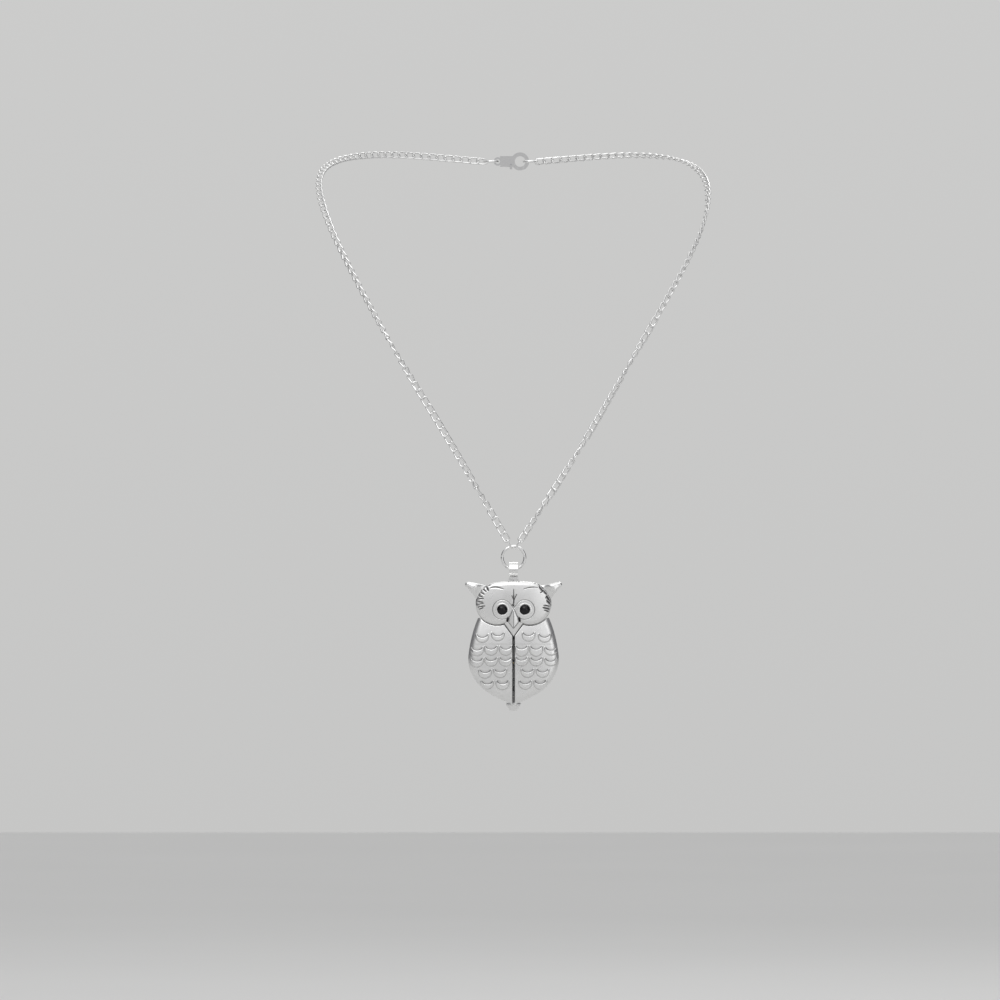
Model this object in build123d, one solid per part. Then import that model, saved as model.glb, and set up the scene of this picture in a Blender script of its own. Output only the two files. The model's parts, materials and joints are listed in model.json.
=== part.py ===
from build123d import *
import math
import os

# An owl pendant watch on a curb chain, as it hangs when worn.
# Sizes are millimetres. +Z is up, +X is to the right of someone who looks at the watch,
# and its front faces -Y. Places are measured from the middle of the dial, on the plane of
# the case front, and the finished pieces are moved so that the origin lies at the nape.

# Outline of the body, right half, from the shoulder down to the middle
shoulder_x, shoulder_z = 11.05, 13.95
flank_x, flank_z = 13.5, 5.65
widest_x, widest_z = 14.05, 1.5
hip_x, hip_z = 12.3, -4.65
low_x, low_z = 9.7, -7.8
belly_x, belly_z = 4.2, -11.2
body_tip_z = -12.75

# Head cover
lobe_x, lobe_z = 5.15, 18.4
lobe_radius = 6.6
forehead_z = 25.4
head_height = 3.7
head_dome_radius = 45.0
head_edge_round = 0.7
head_boss_half_width = 7.0
head_boss_z = 22.5
ear_root_x, ear_root_z = 7.6, 24.1
ear_low_x, ear_low_z = 11.3, 19.6
ear_tip_x, ear_tip_z = 14.05, 24.2
ear_tip_radius = 0.85
ear_height = 2.9
ear_edge_round = 0.45
beak_x, beak_z = 2.85, 12.1
beak_tip_z = 8.1
beak_top_z = 15.2
beak_height = 4.3
beak_taper = 24
eye_x, eye_z = 3.5, 16.55
eye_ring_radius = 3.0
eye_ring_width = 0.18
groove_depth = 0.14
stone_radius = 1.45
stone_seat = 2.9
stone_height = 4.2
stone_dome_radius = 2.05
stone_play = 0.02
head_stud_x, head_stud_z = 4.0, 23.7
head_stud_radius = 0.8
head_stud_length = 2.0

# Wing covers, which swing aside in the plane of the dial
seam_width = 0.62
wing_height = 2.8
wing_dome_radius = 75.0
wing_dome_z = 1.0
wing_wall = 0.8
wing_edge_round = 0.4
head_gap = 0.15
tab_thickness = 0.8
tab_radius = 6.3
tab_boss_radius = 3.4
tab_overlap = 0.35
tab_middle_gap = 0.3
tab_play = 0.15
washer_thickness = 0.2
washer_radius = 2.2
pin_radius = 0.6
pin_play = 0.06
pin_in_case = 2.2
pin_in_head = 1.1
feather_radius = 1.85
feather_raise = 0.16
feather_drop = 0.45
# Feathers of the left wing, outermost first: rows of x, and the z of each row's tips
feather_rows = (
    (8.9, (-9.7, -4.85)),
    (5.35, (-11.35, -7.0, -2.45)),
    (1.9, (-11.35, -7.0, -2.5)),
    (-1.6, (-8.8, -4.15)),
    (-5.1, (-8.2, -3.4)),
)

# Case
case_inset = 0.4
back_dome_radius = 90.0
case_edge_round = 0.6
crystal_ledge = 0.7
crystal_thickness = 1.0
crystal_sink = 0.05
gasket_width = 0.4
rehaut_ledge = 0.4
hands_space = 1.55
cavity_play = 0.05
cover_land = 1.2
cover_gap = 0.65
cover_step = 0.5
cover_wall = 0.9
cover_play = 0.05
cover_dome_rise = 0.25
cover_flat_rise = 0.1
cover_notch_radius = 0.9
cover_rim_width = 1.0
back_gasket_inset = 0.6
back_gasket_half = 0.2

# Hanging loop and jump ring
hang_y = 1.9
loop_width = 2.7
loop_hole_radius = 1.1
loop_outer_radius = 2.45
loop_hole_z = 28.75
loop_neck_depth = 2.4
loop_collar_height = 1.3
loop_collar_extra = 0.15
loop_hole_round = 0.35
loop_stud_radius = 0.7
loop_stud_length = 2.6
ring_radius = 3.5
ring_wire_radius = 0.475
ring_z = 32.6
ring_cut = 0.3
ring_cut_angle = 172

# Dial and hands
dial_play = 0.15
dial_thickness = 0.4
dial_hole_radius = 0.85
marker_ring_radius = 8.0
marker_length = 1.5
marker_width = 0.45
marker_long_width = 0.8
marker_height = 0.08
hand_thickness = 0.15
hand_step = 0.35
hand_clearance = 0.3
hour_hand_length = 4.9
hour_hand_width = 0.85
minute_hand_length = 7.4
minute_hand_width = 0.7
second_hand_length = 7.9
second_hand_tail = 2.4
second_hand_width = 0.22
hour_hub_radius = 1.0
minute_hub_radius = 0.75
second_hub_radius = 0.55
hour_turn = 304
minute_turn = 54
second_turn = 210

# Movement: a quartz calibre with its stem at six o'clock
plate_radius = 9.3
plate_thickness = 1.0
plate_rim_width = 1.0
plate_rim_height = 1.0
works_radius = 3.45
works_depth = 0.6
holder_wall = 0.5
holder_play = 0.05
holder_depth = 2.6
bridge_gap = 1.4
bridge_thickness = 0.3
pillar_radius = 0.6
pillar_places = ((3.9, -1.9), (-2.3, -2.5), (3.6, 4.6))
screw_head_radius = 0.7
screw_head_height = 0.25
screw_shank_radius = 0.3
screw_length = 1.2
screw_slot = 0.14
screw_play = 0.01
cell_radius = 2.9
cell_height = 2.1
cell_z = 1.0
cell_edge_wall = 0.5
cell_web = 0.2
cell_play = 0.08
cell_rim = 0.25
clamp_thickness = 0.15
clamp_width = 1.5
clamp_places = ((-3.4, 4.6), (-5.0, -4.4))
board_radius = 8.9
board_thickness = 0.25
board_left_x = 2.9
board_top_z, board_bottom_z = -2.9, -7.6
chip_size = 1.5
chip_height = 0.25
chip_x, chip_z = 5.6, -3.9
can_radius = 0.5
can_length = 3.0
can_x, can_z = 4.3, -5.2
coil_radius = 0.7
coil_length = 5.4
coil_x, coil_z = 0.0, 6.8
coil_y = 4.9
coil_flange = 0.25
coil_core = 0.3
stator_thickness = 0.25
stator_front = 4.78
stator_ring_radius = 1.3
stator_bore = 0.85
stator_clear = 0.6
stator_reach = 3.9
stator_leg_width = 0.8
stator_coil_gap = 0.2
stator_post_radius = 0.35

# Wheels of the train
centre_teeth = 64
third_teeth, third_module = 60, 0.072
second_teeth, second_module = 60, 0.07
fifth_teeth, fifth_module = 30, 0.09
cannon_teeth, cannon_module = 10, 0.09
minute_wheel_teeth = 30
hour_teeth = 40
minute_pinion_teeth = 10
second_pinion_teeth, third_pinion_teeth = 8, 8
fifth_pinion_teeth, rotor_pinion_teeth = 10, 6
third_angle, fifth_angle, rotor_angle, minute_wheel_angle = 20, 105, 45, 270
wheel_thickness = 0.15
arbor_radius = 0.1
arbor_end = 0.06
pivot_play = 0.03
rotor_radius = 0.7
rotor_front, rotor_back = 4.25, 5.02
second_arbor_radius = 0.2
cannon_bore, cannon_outer = 0.27, 0.48
hour_pipe_bore, hour_pipe_outer = 0.53, 0.75
centre_level = 4.15
third_level = 4.55
second_level = 4.85
fifth_level = 5.12
minute_level = 3.35
hour_level = 3.1
minute_post_radius = 0.2
# Shares of a tooth's pitch that its root and tip fill, and its heights in modules
tooth_root_share, tooth_tip_share = 0.32, 0.11
tooth_rise, tooth_fall = 0.8, 1.0

# Stem, crown and setting lever
stem_y = 4.4
stem_radius = 0.45
stem_top_z = -4.3
stem_groove_radius = 0.22
stem_groove_z = -6.6
stem_groove_half = 0.3
stem_bore_play = 0.08
pinion_radius = 0.62
pinion_length = 0.9
pinion_flutes = 10
pinion_flute_radius = 0.1
crown_lip_radius = 2.28
crown_lip_height = 0.5
crown_mid_radius = 1.85
crown_end_radius = 1.1
crown_top_z = -12.42
crown_mid_z = -13.8
crown_bottom_z = -14.9
crown_cover_gap = 0.2
crown_flutes = 18
crown_flute_radius = 0.22
crown_recess_radius = 1.2
crown_recess_depth = 1.25
tube_outer, tube_bore = 0.9, 0.52
tube_inside_z = -9.95
tube_stick_out = 1.0
crown_seal_half = 0.13
crown_seal_z = -12.75
lever_pivot_x = 1.7
lever_post_radius = 0.35
lever_boss_radius = 0.7
lever_thickness = 0.15
lever_front = 4.92
lever_arm_width = 0.5
lever_finger_radius = 0.13
lever_finger_front = 4.66

# Curb chain
link_wire_radius = 0.24
link_half_width = 0.85
link_half_height = 0.5
link_half_length = 1.67
link_pitch = 2.7
end_link_x = 0.85
wind_share = 0.45
nape_y, nape_z = 88.0, 158.5
neck_y = 42.0
# Routes of the two runs, from the jump ring up the chest and round to the nape
left_route = (
    (-2.6, 1.9, 39.05), (-19.9, 3.2, 69.1), (-35.4, 6.5, 93.9), (-50.7, 14.0, 121.8),
    (-59.4, 25.0, 140.4), (-62.0, 40.5, 152.5), (-56.0, 59.0, 158.5), (-41.5, 74.5, 160.5),
    (-25.5, 84.0, 159.8), (-10.0, 88.0, 158.5),
)
right_route = (
    (2.8, 1.9, 38.9), (14.6, 2.6, 56.7), (27.0, 4.6, 76.9), (45.6, 10.0, 109.4),
    (55.2, 17.0, 126.5), (60.6, 27.0, 139.5), (61.4, 42.0, 151.0), (55.0, 60.0, 158.0),
    (40.5, 75.0, 160.3), (23.5, 84.2, 159.8), (8.55, 88.0, 158.5),
)
# Slow twist of each run: share of its length, and degrees
left_twist = (
    (0, 0), (0.03, 10), (0.07, 90), (0.1, 160), (0.21, 200), (0.28, 270),
    (0.36, 345), (0.5, 375), (0.62, 450), (0.8, 530), (1, 540),
)
right_twist = (
    (0, 0), (0.02, 20), (0.05, 90), (0.075, 165), (0.12, 190), (0.155, 270), (0.19, 345),
    (0.26, 370), (0.32, 450), (0.38, 530), (0.55, 560), (0.75, 640), (1, 720),
)

# Clasp at the nape, with its own middle as zero, u to the right and v up
clasp_thickness = 2.0
clasp_hook_u = 2.2
clasp_hook_outer, clasp_hook_inner = 2.9, 1.7
clasp_bar_left_u, clasp_bar_half = -4.2, 1.7
clasp_bar_right_u = 0.2
clasp_eye_u, clasp_eye_outer, clasp_eye_bore = -4.9, 1.35, 0.75
clasp_gate_start, clasp_gate_end = 205, 292
clasp_tip_reach = 4.1
clasp_tip_end = 325
clasp_slot = 1.1
clasp_lever_play = 0.06
clasp_pin_u, clasp_pin_v = -0.7, -1.0
clasp_pin_radius = 0.3
clasp_pin_play = 0.03
clasp_lever_boss = 0.62
clasp_lever_trim = 3
clasp_thumb_length, clasp_thumb_width = 1.5, 0.8
clasp_pocket_radius = 1.35
clasp_spring_width, clasp_spring_thickness = 0.5, 0.12
clasp_spring_u, clasp_spring_v = -1.6, 0.0
clasp_spring_length = 1.0
end_ring_radius, end_ring_wire = 2.1, 0.35
end_ring_play = 0.15
clasp_hook_thickness = 1.2
clasp_hook_start_u = 1.2

overrun = 5.0

# Levels through the watch, worked out from the sizes above
tab_back = -washer_thickness
tab_front = tab_back - tab_thickness
head_back = tab_front - tab_play
crystal_back = crystal_sink + crystal_thickness
dial_front = crystal_back + hands_space
plate_front = dial_front + dial_thickness
plate_back = plate_front + plate_thickness
rim_back = plate_back + plate_rim_height
bridge_front = plate_back + bridge_gap
bridge_back = bridge_front + bridge_thickness
web_front = plate_front + works_depth
cell_front = plate_front + cell_web
cell_back = cell_front + cell_height
cell_x = -(plate_radius - cell_edge_wall - cell_radius)
cover_inside = cell_back + clamp_thickness + cover_gap
cover_seat = cover_inside - cover_step
case_depth = cover_inside + cover_wall
cover_flat_y = case_depth + cover_flat_rise
# Radii round the movement, each from the one inside it
holder_radius = plate_radius + holder_play + holder_wall
cavity_radius = holder_radius + cavity_play
dial_radius = cavity_radius - dial_play
rehaut_radius = cavity_radius - rehaut_ledge
crystal_radius = rehaut_radius + crystal_ledge
cover_radius = cavity_radius + cover_land
back_gasket_radius = cover_radius - back_gasket_inset
hour_hand_back = dial_front - hand_clearance
minute_hand_back = hour_hand_back - hand_step
second_hand_back = minute_hand_back - hand_step
loop_base_z = forehead_z - case_inset


def slab(shape, front, back):
    # A flat outline in X and Z, made solid between two depths
    return extrude(Plane.XZ.offset(-back) * shape, amount=back - front)


def disc(radius, front, back, x=0, z=0):
    return slab(Pos(x, z) * Circle(radius), front, back)


def washer(outer, inner, front, back, x=0, z=0):
    return slab(Pos(x, z) * (Circle(outer) - Circle(inner)), front, back)


def front_dome(apex, radius, z):
    # A ball whose foremost point lies at the depth of its apex
    return Pos(0, apex + radius, z) * Sphere(radius)


def upright_rod(radius, low_z, high_z, y):
    rod = Cylinder(radius, high_z - low_z, align=(Align.CENTER, Align.CENTER, Align.MIN))
    return Pos(0, y, low_z) * rod


def outline(*points):
    return make_face(Polyline(*points, close=True))


def mirrored(shape):
    return mirror(shape, Plane.YZ)


def one(shape):
    # The single solid of a finished piece
    solids = shape.solids()
    if len(solids) != 1:
        print("expected one solid, found", len(solids))
    return solids[0]


def group(pieces):
    return Compound(children=[one(piece) for piece in pieces])


def polar(radius, degrees):
    angle = math.radians(degrees)
    return radius * math.cos(angle), radius * math.sin(angle)


def body_face():
    right = [
        ThreePointArc((shoulder_x, shoulder_z), (flank_x, flank_z), (widest_x, widest_z)),
        ThreePointArc((widest_x, widest_z), (hip_x, hip_z), (low_x, low_z)),
        ThreePointArc((low_x, low_z), (belly_x, belly_z), (0, body_tip_z)),
    ]
    left = [
        ThreePointArc((-shoulder_x, shoulder_z), (-flank_x, flank_z), (-widest_x, widest_z)),
        ThreePointArc((-widest_x, widest_z), (-hip_x, hip_z), (-low_x, low_z)),
        ThreePointArc((-low_x, low_z), (-belly_x, belly_z), (0, body_tip_z)),
    ]
    top = Line((-shoulder_x, shoulder_z), (shoulder_x, shoulder_z))
    return make_face(right + left + [top])


def head_face():
    # Two round lobes under a forehead arc that touches both without a corner
    lobes = Pos(-lobe_x, lobe_z) * Circle(lobe_radius) + Pos(lobe_x, lobe_z) * Circle(lobe_radius)
    rise = forehead_z - lobe_z - lobe_radius
    centre_drop = (lobe_x ** 2 - rise ** 2) / (2 * rise)
    forehead_radius = forehead_z - lobe_z + centre_drop
    stretch = forehead_radius / (forehead_radius - lobe_radius)
    brow_x, brow_z = lobe_x * stretch, lobe_z - centre_drop + centre_drop * stretch
    forehead = make_face([
        ThreePointArc((-brow_x, brow_z), (0, forehead_z), (brow_x, brow_z)),
        Polyline((brow_x, brow_z), (lobe_x, lobe_z), (-lobe_x, lobe_z), (-brow_x, brow_z)),
    ])
    return lobes + forehead


def beak_face(spread=0):
    return outline(
        (-beak_x - spread, beak_z), (0, beak_tip_z - spread),
        (beak_x + spread, beak_z), (0, beak_top_z + spread),
    )


def half_plane(edge_x):
    # Everything to the left of an upright line
    width = widest_x + overrun
    return Pos(edge_x - width / 2, 0) * Rectangle(width, 4 * widest_x)


def ear_face():
    tip = Pos(-ear_tip_x, ear_tip_z) * Circle(ear_tip_radius)
    wedge = outline(
        (-ear_root_x, ear_root_z), (-ear_tip_x, ear_tip_z + ear_tip_radius),
        (-ear_tip_x - ear_tip_radius, ear_tip_z), (-ear_low_x, ear_low_z), (-lobe_x, lobe_z),
    )
    return wedge + tip


def make_head():
    plate = slab(head_face(), -head_height - overrun, head_back)
    head = plate & front_dome(-head_height, head_dome_radius, lobe_z)
    crest = head.faces().filter_by(GeomType.SPHERE)[0]
    head = fillet(crest.edges(), head_edge_round)
    ear = slab(ear_face(), -ear_height, head_back)
    front = ear.faces().sort_by(Axis.Y)[0]
    ear = chamfer(front.edges(), ear_edge_round)
    beak_base = Plane.XZ.offset(-head_back) * beak_face()
    beak = extrude(beak_base, amount=beak_height + head_back, taper=beak_taper)
    head = head + ear + mirrored(ear) + beak
    # Rings engraved round the eyes
    ring = Circle(eye_ring_radius + eye_ring_width / 2) - Circle(eye_ring_radius - eye_ring_width / 2)
    rings = Sketch() + [Pos(side * eye_x, eye_z) * ring for side in (-1, 1)]
    rings = rings - beak_face()
    floor = front_dome(-head_height + groove_depth, head_dome_radius, lobe_z)
    head = head - (slab(rings, -head_height - overrun, -stone_seat) - floor)
    stone_hole = stone_radius + stone_play
    for side in (-1, 1):
        head = head - disc(stone_hole, -head_height - overrun, -stone_seat, side * eye_x, eye_z)
        head = head - disc(pin_radius, head_back - pin_in_head, overrun, side * lobe_x, lobe_z)
    # Boss that stands on the case front, and the studs that hold the head
    boss_window = Pos(0, head_boss_z + overrun) * Rectangle(2 * head_boss_half_width, 2 * overrun)
    head = head + slab(offset(head_face(), -case_inset) & boss_window, head_back, 0)
    for side in (-1, 1):
        head = head + disc(head_stud_radius, head_back, head_stud_length, side * head_stud_x, head_stud_z)
    return one(head)


def make_eye_stone(side):
    post = disc(stone_radius, -stone_height, -stone_seat, side * eye_x, eye_z)
    ball = Pos(side * eye_x, -stone_height + stone_dome_radius, eye_z) * Sphere(stone_dome_radius)
    return one(post & ball + disc(stone_radius, -stone_seat - groove_depth, -stone_seat, side * eye_x, eye_z))


def make_left_wing():
    edge_x = -seam_width / 2
    ring_cut_face = Pos(-lobe_x, lobe_z) * Circle(lobe_radius + head_gap)
    plan = body_face() & half_plane(edge_x)
    plan = plan - ring_cut_face - beak_face(head_gap)
    plan = plan.faces().sort_by(SortBy.AREA)[-1]
    dome = front_dome(-wing_height, wing_dome_radius, wing_dome_z)
    wing = slab(plan, -wing_height - overrun, tab_back) & dome
    crest = wing.faces().filter_by(GeomType.SPHERE)[0]
    wing = fillet(crest.edges(), wing_edge_round)
    hollow_plan = offset(Sketch() + plan, -wing_wall)
    inner_dome = front_dome(-wing_height + wing_wall, wing_dome_radius - wing_wall, wing_dome_z)
    wing = wing - (slab(hollow_plan, -wing_height, tab_back) & inner_dome)
    # Feathers: raised scallops that follow the dome
    scallops = Sketch()
    for tip_z, places in feather_rows:
        for x in places:
            scale_face = Circle(feather_radius) - Pos(0, feather_drop) * Circle(feather_radius)
            lower = scale_face & (Pos(0, -feather_radius) * Rectangle(3 * feather_radius, 2 * feather_radius))
            scallops = scallops + Pos(x, tip_z) * lower
    scallops = scallops & offset(Sketch() + plan, -wing_edge_round)
    raised = slab(scallops, -wing_height - feather_raise, tab_front)
    raised = raised & front_dome(-wing_height - feather_raise, wing_dome_radius, wing_dome_z)
    wing = wing + raised
    # Tab that runs under the head to the pivot
    boss = Pos(-lobe_x, lobe_z) * Circle(tab_boss_radius)
    below = Pos(0, -tab_radius) * Rectangle(3 * tab_radius, 2 * tab_radius)
    lower_half = Pos(-lobe_x, lobe_z) * (Circle(tab_radius) & below)
    link = Pos(-lobe_x, lobe_z) * Circle(lobe_radius + head_gap + tab_overlap) & body_face()
    link = link & half_plane(edge_x)
    tab = (boss + lower_half + link) & half_plane(-tab_middle_gap / 2)
    tab = tab - Pos(-lobe_x, lobe_z) * Circle(pin_radius + pin_play)
    wing = wing + slab(tab, tab_front, tab_back)
    return one(wing)


def make_wing_pin(side):
    return disc(pin_radius, head_back - pin_in_head, pin_in_case, side * lobe_x, lobe_z)


def make_wing_washer(side):
    return washer(washer_radius, pin_radius, tab_back, 0, side * lobe_x, lobe_z)


def make_case():
    plan = offset(body_face() + head_face() + beak_face(), -case_inset)
    case = slab(plan, 0, case_depth + overrun)
    back_ball = Pos(0, case_depth - back_dome_radius, 0) * Sphere(back_dome_radius)
    case = case & back_ball
    crest = case.faces().filter_by(GeomType.SPHERE)[0]
    case = chamfer(crest.edges(), case_edge_round)
    case = case - disc(crystal_radius + gasket_width, -overrun, crystal_back)
    case = case - disc(rehaut_radius, -overrun, dial_front + overrun)
    case = case - disc(cavity_radius, dial_front, case_depth + overrun)
    case = case - disc(cover_radius + cover_play, cover_seat, case_depth + overrun)
    case = case - back_gasket_ring(cover_seat + overrun)
    for side in (-1, 1):
        case = case - disc(pin_radius, -overrun, pin_in_case, side * lobe_x, lobe_z)
        case = case - disc(head_stud_radius, -overrun, head_stud_length, side * head_stud_x, head_stud_z)
    case = case - upright_rod(tube_outer, body_tip_z - overrun, -rehaut_radius, stem_y)
    case = case - upright_rod(loop_stud_radius, loop_base_z - loop_stud_length, forehead_z + overrun, hang_y)
    return one(case)


def back_gasket_ring(back):
    # From the bottom of its groove in the case
    return washer(back_gasket_radius + back_gasket_half, back_gasket_radius - back_gasket_half,
                  cover_seat - back_gasket_half, back)


def make_case_back():
    cover = disc(cover_radius, cover_seat, cover_flat_y)
    ball = Pos(0, case_depth + cover_dome_rise - back_dome_radius, 0) * Sphere(back_dome_radius)
    cover = cover & ball
    cover = cover - disc(cavity_radius - cover_rim_width, -overrun, cover_inside)
    notch = Pos(cover_radius, case_depth, 0) * Sphere(cover_notch_radius)
    crown_space = upright_rod(crown_lip_radius + crown_cover_gap, crown_bottom_z, crown_top_z + crown_cover_gap, stem_y)
    return one(cover - notch - crown_space)


def make_hanging_loop():
    eye_round = Plane.YZ.offset(-loop_width / 2) * Pos(hang_y, loop_hole_z) * Circle(loop_outer_radius)
    loop = extrude(eye_round, amount=loop_width)
    on_base = (Align.CENTER, Align.CENTER, Align.MIN)
    neck = Box(loop_width, loop_neck_depth, loop_hole_z - loop_base_z, align=on_base)
    collar = Box(loop_width + 2 * loop_collar_extra, loop_neck_depth, loop_collar_height, align=on_base)
    hole_face = Plane.YZ.offset(-loop_width) * Pos(hang_y, loop_hole_z) * Circle(loop_hole_radius)
    loop = loop + Pos(0, hang_y, loop_base_z) * neck
    loop = loop - extrude(hole_face, amount=2 * loop_width)
    mouth = loop.edges().filter_by(GeomType.CIRCLE).sort_by(SortBy.RADIUS)[:2]
    loop = fillet(mouth, loop_hole_round)
    loop = loop + Pos(0, hang_y, loop_base_z) * collar
    return one(loop + upright_rod(loop_stud_radius, loop_base_z - loop_stud_length, loop_base_z, hang_y))


def wire_ring(radius, wire, cut_width, cut_angle):
    # A round ring in X and Z with a narrow cut
    hoop = Rot(90, 0, 0) * Torus(radius, wire)
    x, z = polar(radius, cut_angle)
    blade = Pos(x, 0, z) * Rot(0, -cut_angle, 0) * Box(4 * wire, 4 * wire, cut_width)
    return one(hoop - blade)


def make_jump_ring():
    return Pos(0, hang_y, ring_z) * wire_ring(ring_radius, ring_wire_radius, ring_cut, ring_cut_angle)


def make_dial():
    return washer(dial_radius, dial_hole_radius, dial_front, plate_front)


def make_markers():
    markers = []
    for hour in range(12):
        width = marker_long_width if hour % 3 == 0 else marker_width
        bar = Rot(0, 0, -360 / 12 * hour) * Pos(0, marker_ring_radius) * Rectangle(width, marker_length)
        markers.append(slab(bar, dial_front - marker_height, dial_front))
    return group(markers)


def hand_blade(length, width, hub, tail=0):
    # A slim leaf with its widest place near the hub
    tip_share, belly_share = 0.12, 0.35
    blade = outline(
        (-width * tip_share, length), (-width / 2, length * belly_share), (-width * tip_share, -tail),
        (width * tip_share, -tail), (width / 2, length * belly_share), (width * tip_share, length),
    )
    return blade + Circle(hub)


def make_hand(length, width, hub, bore, back, turn, tail=0):
    face = hand_blade(length, width, hub, tail) - Circle(bore)
    return one(slab(Rot(0, 0, -turn) * face, back - hand_thickness, back))


def gear_face(teeth, module, phase=0):
    # A wheel outline with straight-sided teeth, the first at the phase angle
    pitch = 360 / teeth
    root = module * (teeth / 2 - tooth_fall)
    tip = module * (teeth / 2 + tooth_rise)
    points = []
    for tooth in range(teeth):
        middle = phase + tooth * pitch
        points.append(polar(root, middle - tooth_root_share * pitch))
        points.append(polar(tip, middle - tooth_tip_share * pitch))
        points.append(polar(tip, middle + tooth_tip_share * pitch))
        points.append(polar(root, middle + tooth_root_share * pitch))
    return outline(*points)


def meshing_phase(teeth, phase, other_teeth, direction):
    # Phase of the other wheel, so that its gaps meet this wheel's teeth along a direction
    pitch = 360 / teeth
    share = ((direction - phase) / pitch) % 1
    return direction + 180 - 360 / other_teeth * (0.5 - share)


def centre_distance(teeth, other_teeth, module):
    return module * (teeth + other_teeth) / 2


# Two wheels on one axle share their distance from the axle that they drive
third_distance = centre_distance(second_pinion_teeth, third_teeth, third_module)
centre_module = 2 * third_distance / (third_pinion_teeth + centre_teeth)
minute_distance = centre_distance(cannon_teeth, minute_wheel_teeth, cannon_module)
hour_module = 2 * minute_distance / (minute_pinion_teeth + hour_teeth)
fifth_distance = centre_distance(second_teeth, fifth_pinion_teeth, second_module)
rotor_distance = centre_distance(fifth_teeth, rotor_pinion_teeth, fifth_module)
third_x, third_z = polar(third_distance, third_angle)
fifth_x, fifth_z = polar(fifth_distance, fifth_angle)
minute_x, minute_z = polar(minute_distance, minute_wheel_angle)
rotor_dx, rotor_dz = polar(rotor_distance, rotor_angle)
rotor_x, rotor_z = fifth_x + rotor_dx, fifth_z + rotor_dz


def gear(teeth, module, front, back, phase=0, x=0, z=0):
    return slab(Pos(x, z) * gear_face(teeth, module, phase), front, back)


def make_second_wheel():
    wheel = gear(second_teeth, second_module, second_level, second_level + wheel_thickness)
    pinion = gear(second_pinion_teeth, third_module, third_level - wheel_thickness, second_level)
    arbor = disc(second_arbor_radius, second_hand_back - hand_thickness, second_level)
    pivot = disc(arbor_radius, second_level, bridge_front + arbor_end)
    return one(wheel + pinion + arbor + pivot)


def make_third_wheel():
    phase = meshing_phase(second_pinion_teeth, 0, third_teeth, third_angle)
    wheel_back = third_level + wheel_thickness
    wheel = gear(third_teeth, third_module, third_level, wheel_back, phase, third_x, third_z)
    pinion_phase = meshing_phase(centre_teeth, 0, third_pinion_teeth, third_angle)
    pinion = gear(third_pinion_teeth, centre_module, centre_level - wheel_thickness / 2, third_level,
                  pinion_phase, third_x, third_z)
    arbor = disc(arbor_radius, plate_back - arbor_end, bridge_front + arbor_end, third_x, third_z)
    return one(wheel + pinion + arbor)


def make_centre_wheel():
    wheel = gear(centre_teeth, centre_module, centre_level, centre_level + wheel_thickness)
    tube = disc(cannon_outer, minute_hand_back - hand_thickness, centre_level)
    pinion = gear(cannon_teeth, cannon_module, minute_level, minute_level + wheel_thickness)
    pinion = pinion + disc(cannon_outer, minute_level, minute_level + wheel_thickness)
    wheel = wheel + tube + pinion
    return one(wheel - disc(cannon_bore, -overrun, plate_back + overrun))


def make_minute_wheel():
    phase = meshing_phase(cannon_teeth, 0, minute_wheel_teeth, minute_wheel_angle)
    wheel_back = minute_level + wheel_thickness
    wheel = gear(minute_wheel_teeth, cannon_module, minute_level, wheel_back, phase, minute_x, minute_z)
    pinion_phase = meshing_phase(hour_teeth, 0, minute_pinion_teeth, minute_wheel_angle)
    pinion = gear(minute_pinion_teeth, hour_module, hour_level, minute_level, pinion_phase, minute_x, minute_z)
    bore = disc(minute_post_radius + pivot_play, -overrun, plate_back, minute_x, minute_z)
    return one(wheel + pinion - bore)


def make_hour_wheel():
    wheel = gear(hour_teeth, hour_module, hour_level, hour_level + wheel_thickness)
    pipe = disc(hour_pipe_outer, hour_hand_back - hand_thickness, hour_level)
    return one(wheel + pipe - disc(hour_pipe_bore, -overrun, plate_back))


def make_fifth_wheel():
    phase = meshing_phase(second_teeth, 0, fifth_pinion_teeth, fifth_angle)
    pinion_front = second_level - wheel_thickness / 2
    pinion = gear(fifth_pinion_teeth, second_module, pinion_front, fifth_level, phase, fifth_x, fifth_z)
    wheel = gear(fifth_teeth, fifth_module, fifth_level, fifth_level + wheel_thickness, 0, fifth_x, fifth_z)
    arbor = disc(arbor_radius, plate_back - arbor_end, bridge_front + arbor_end, fifth_x, fifth_z)
    return one(wheel + pinion + arbor)


def make_rotor():
    phase = meshing_phase(fifth_teeth, 0, rotor_pinion_teeth, rotor_angle)
    pinion_back = fifth_level + wheel_thickness
    pinion = gear(rotor_pinion_teeth, fifth_module, rotor_back, pinion_back, phase, rotor_x, rotor_z)
    magnet = disc(rotor_radius, rotor_front, rotor_back, rotor_x, rotor_z)
    arbor = disc(arbor_radius, plate_back - arbor_end, bridge_front + arbor_end, rotor_x, rotor_z)
    return one(magnet + pinion + arbor)


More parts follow.
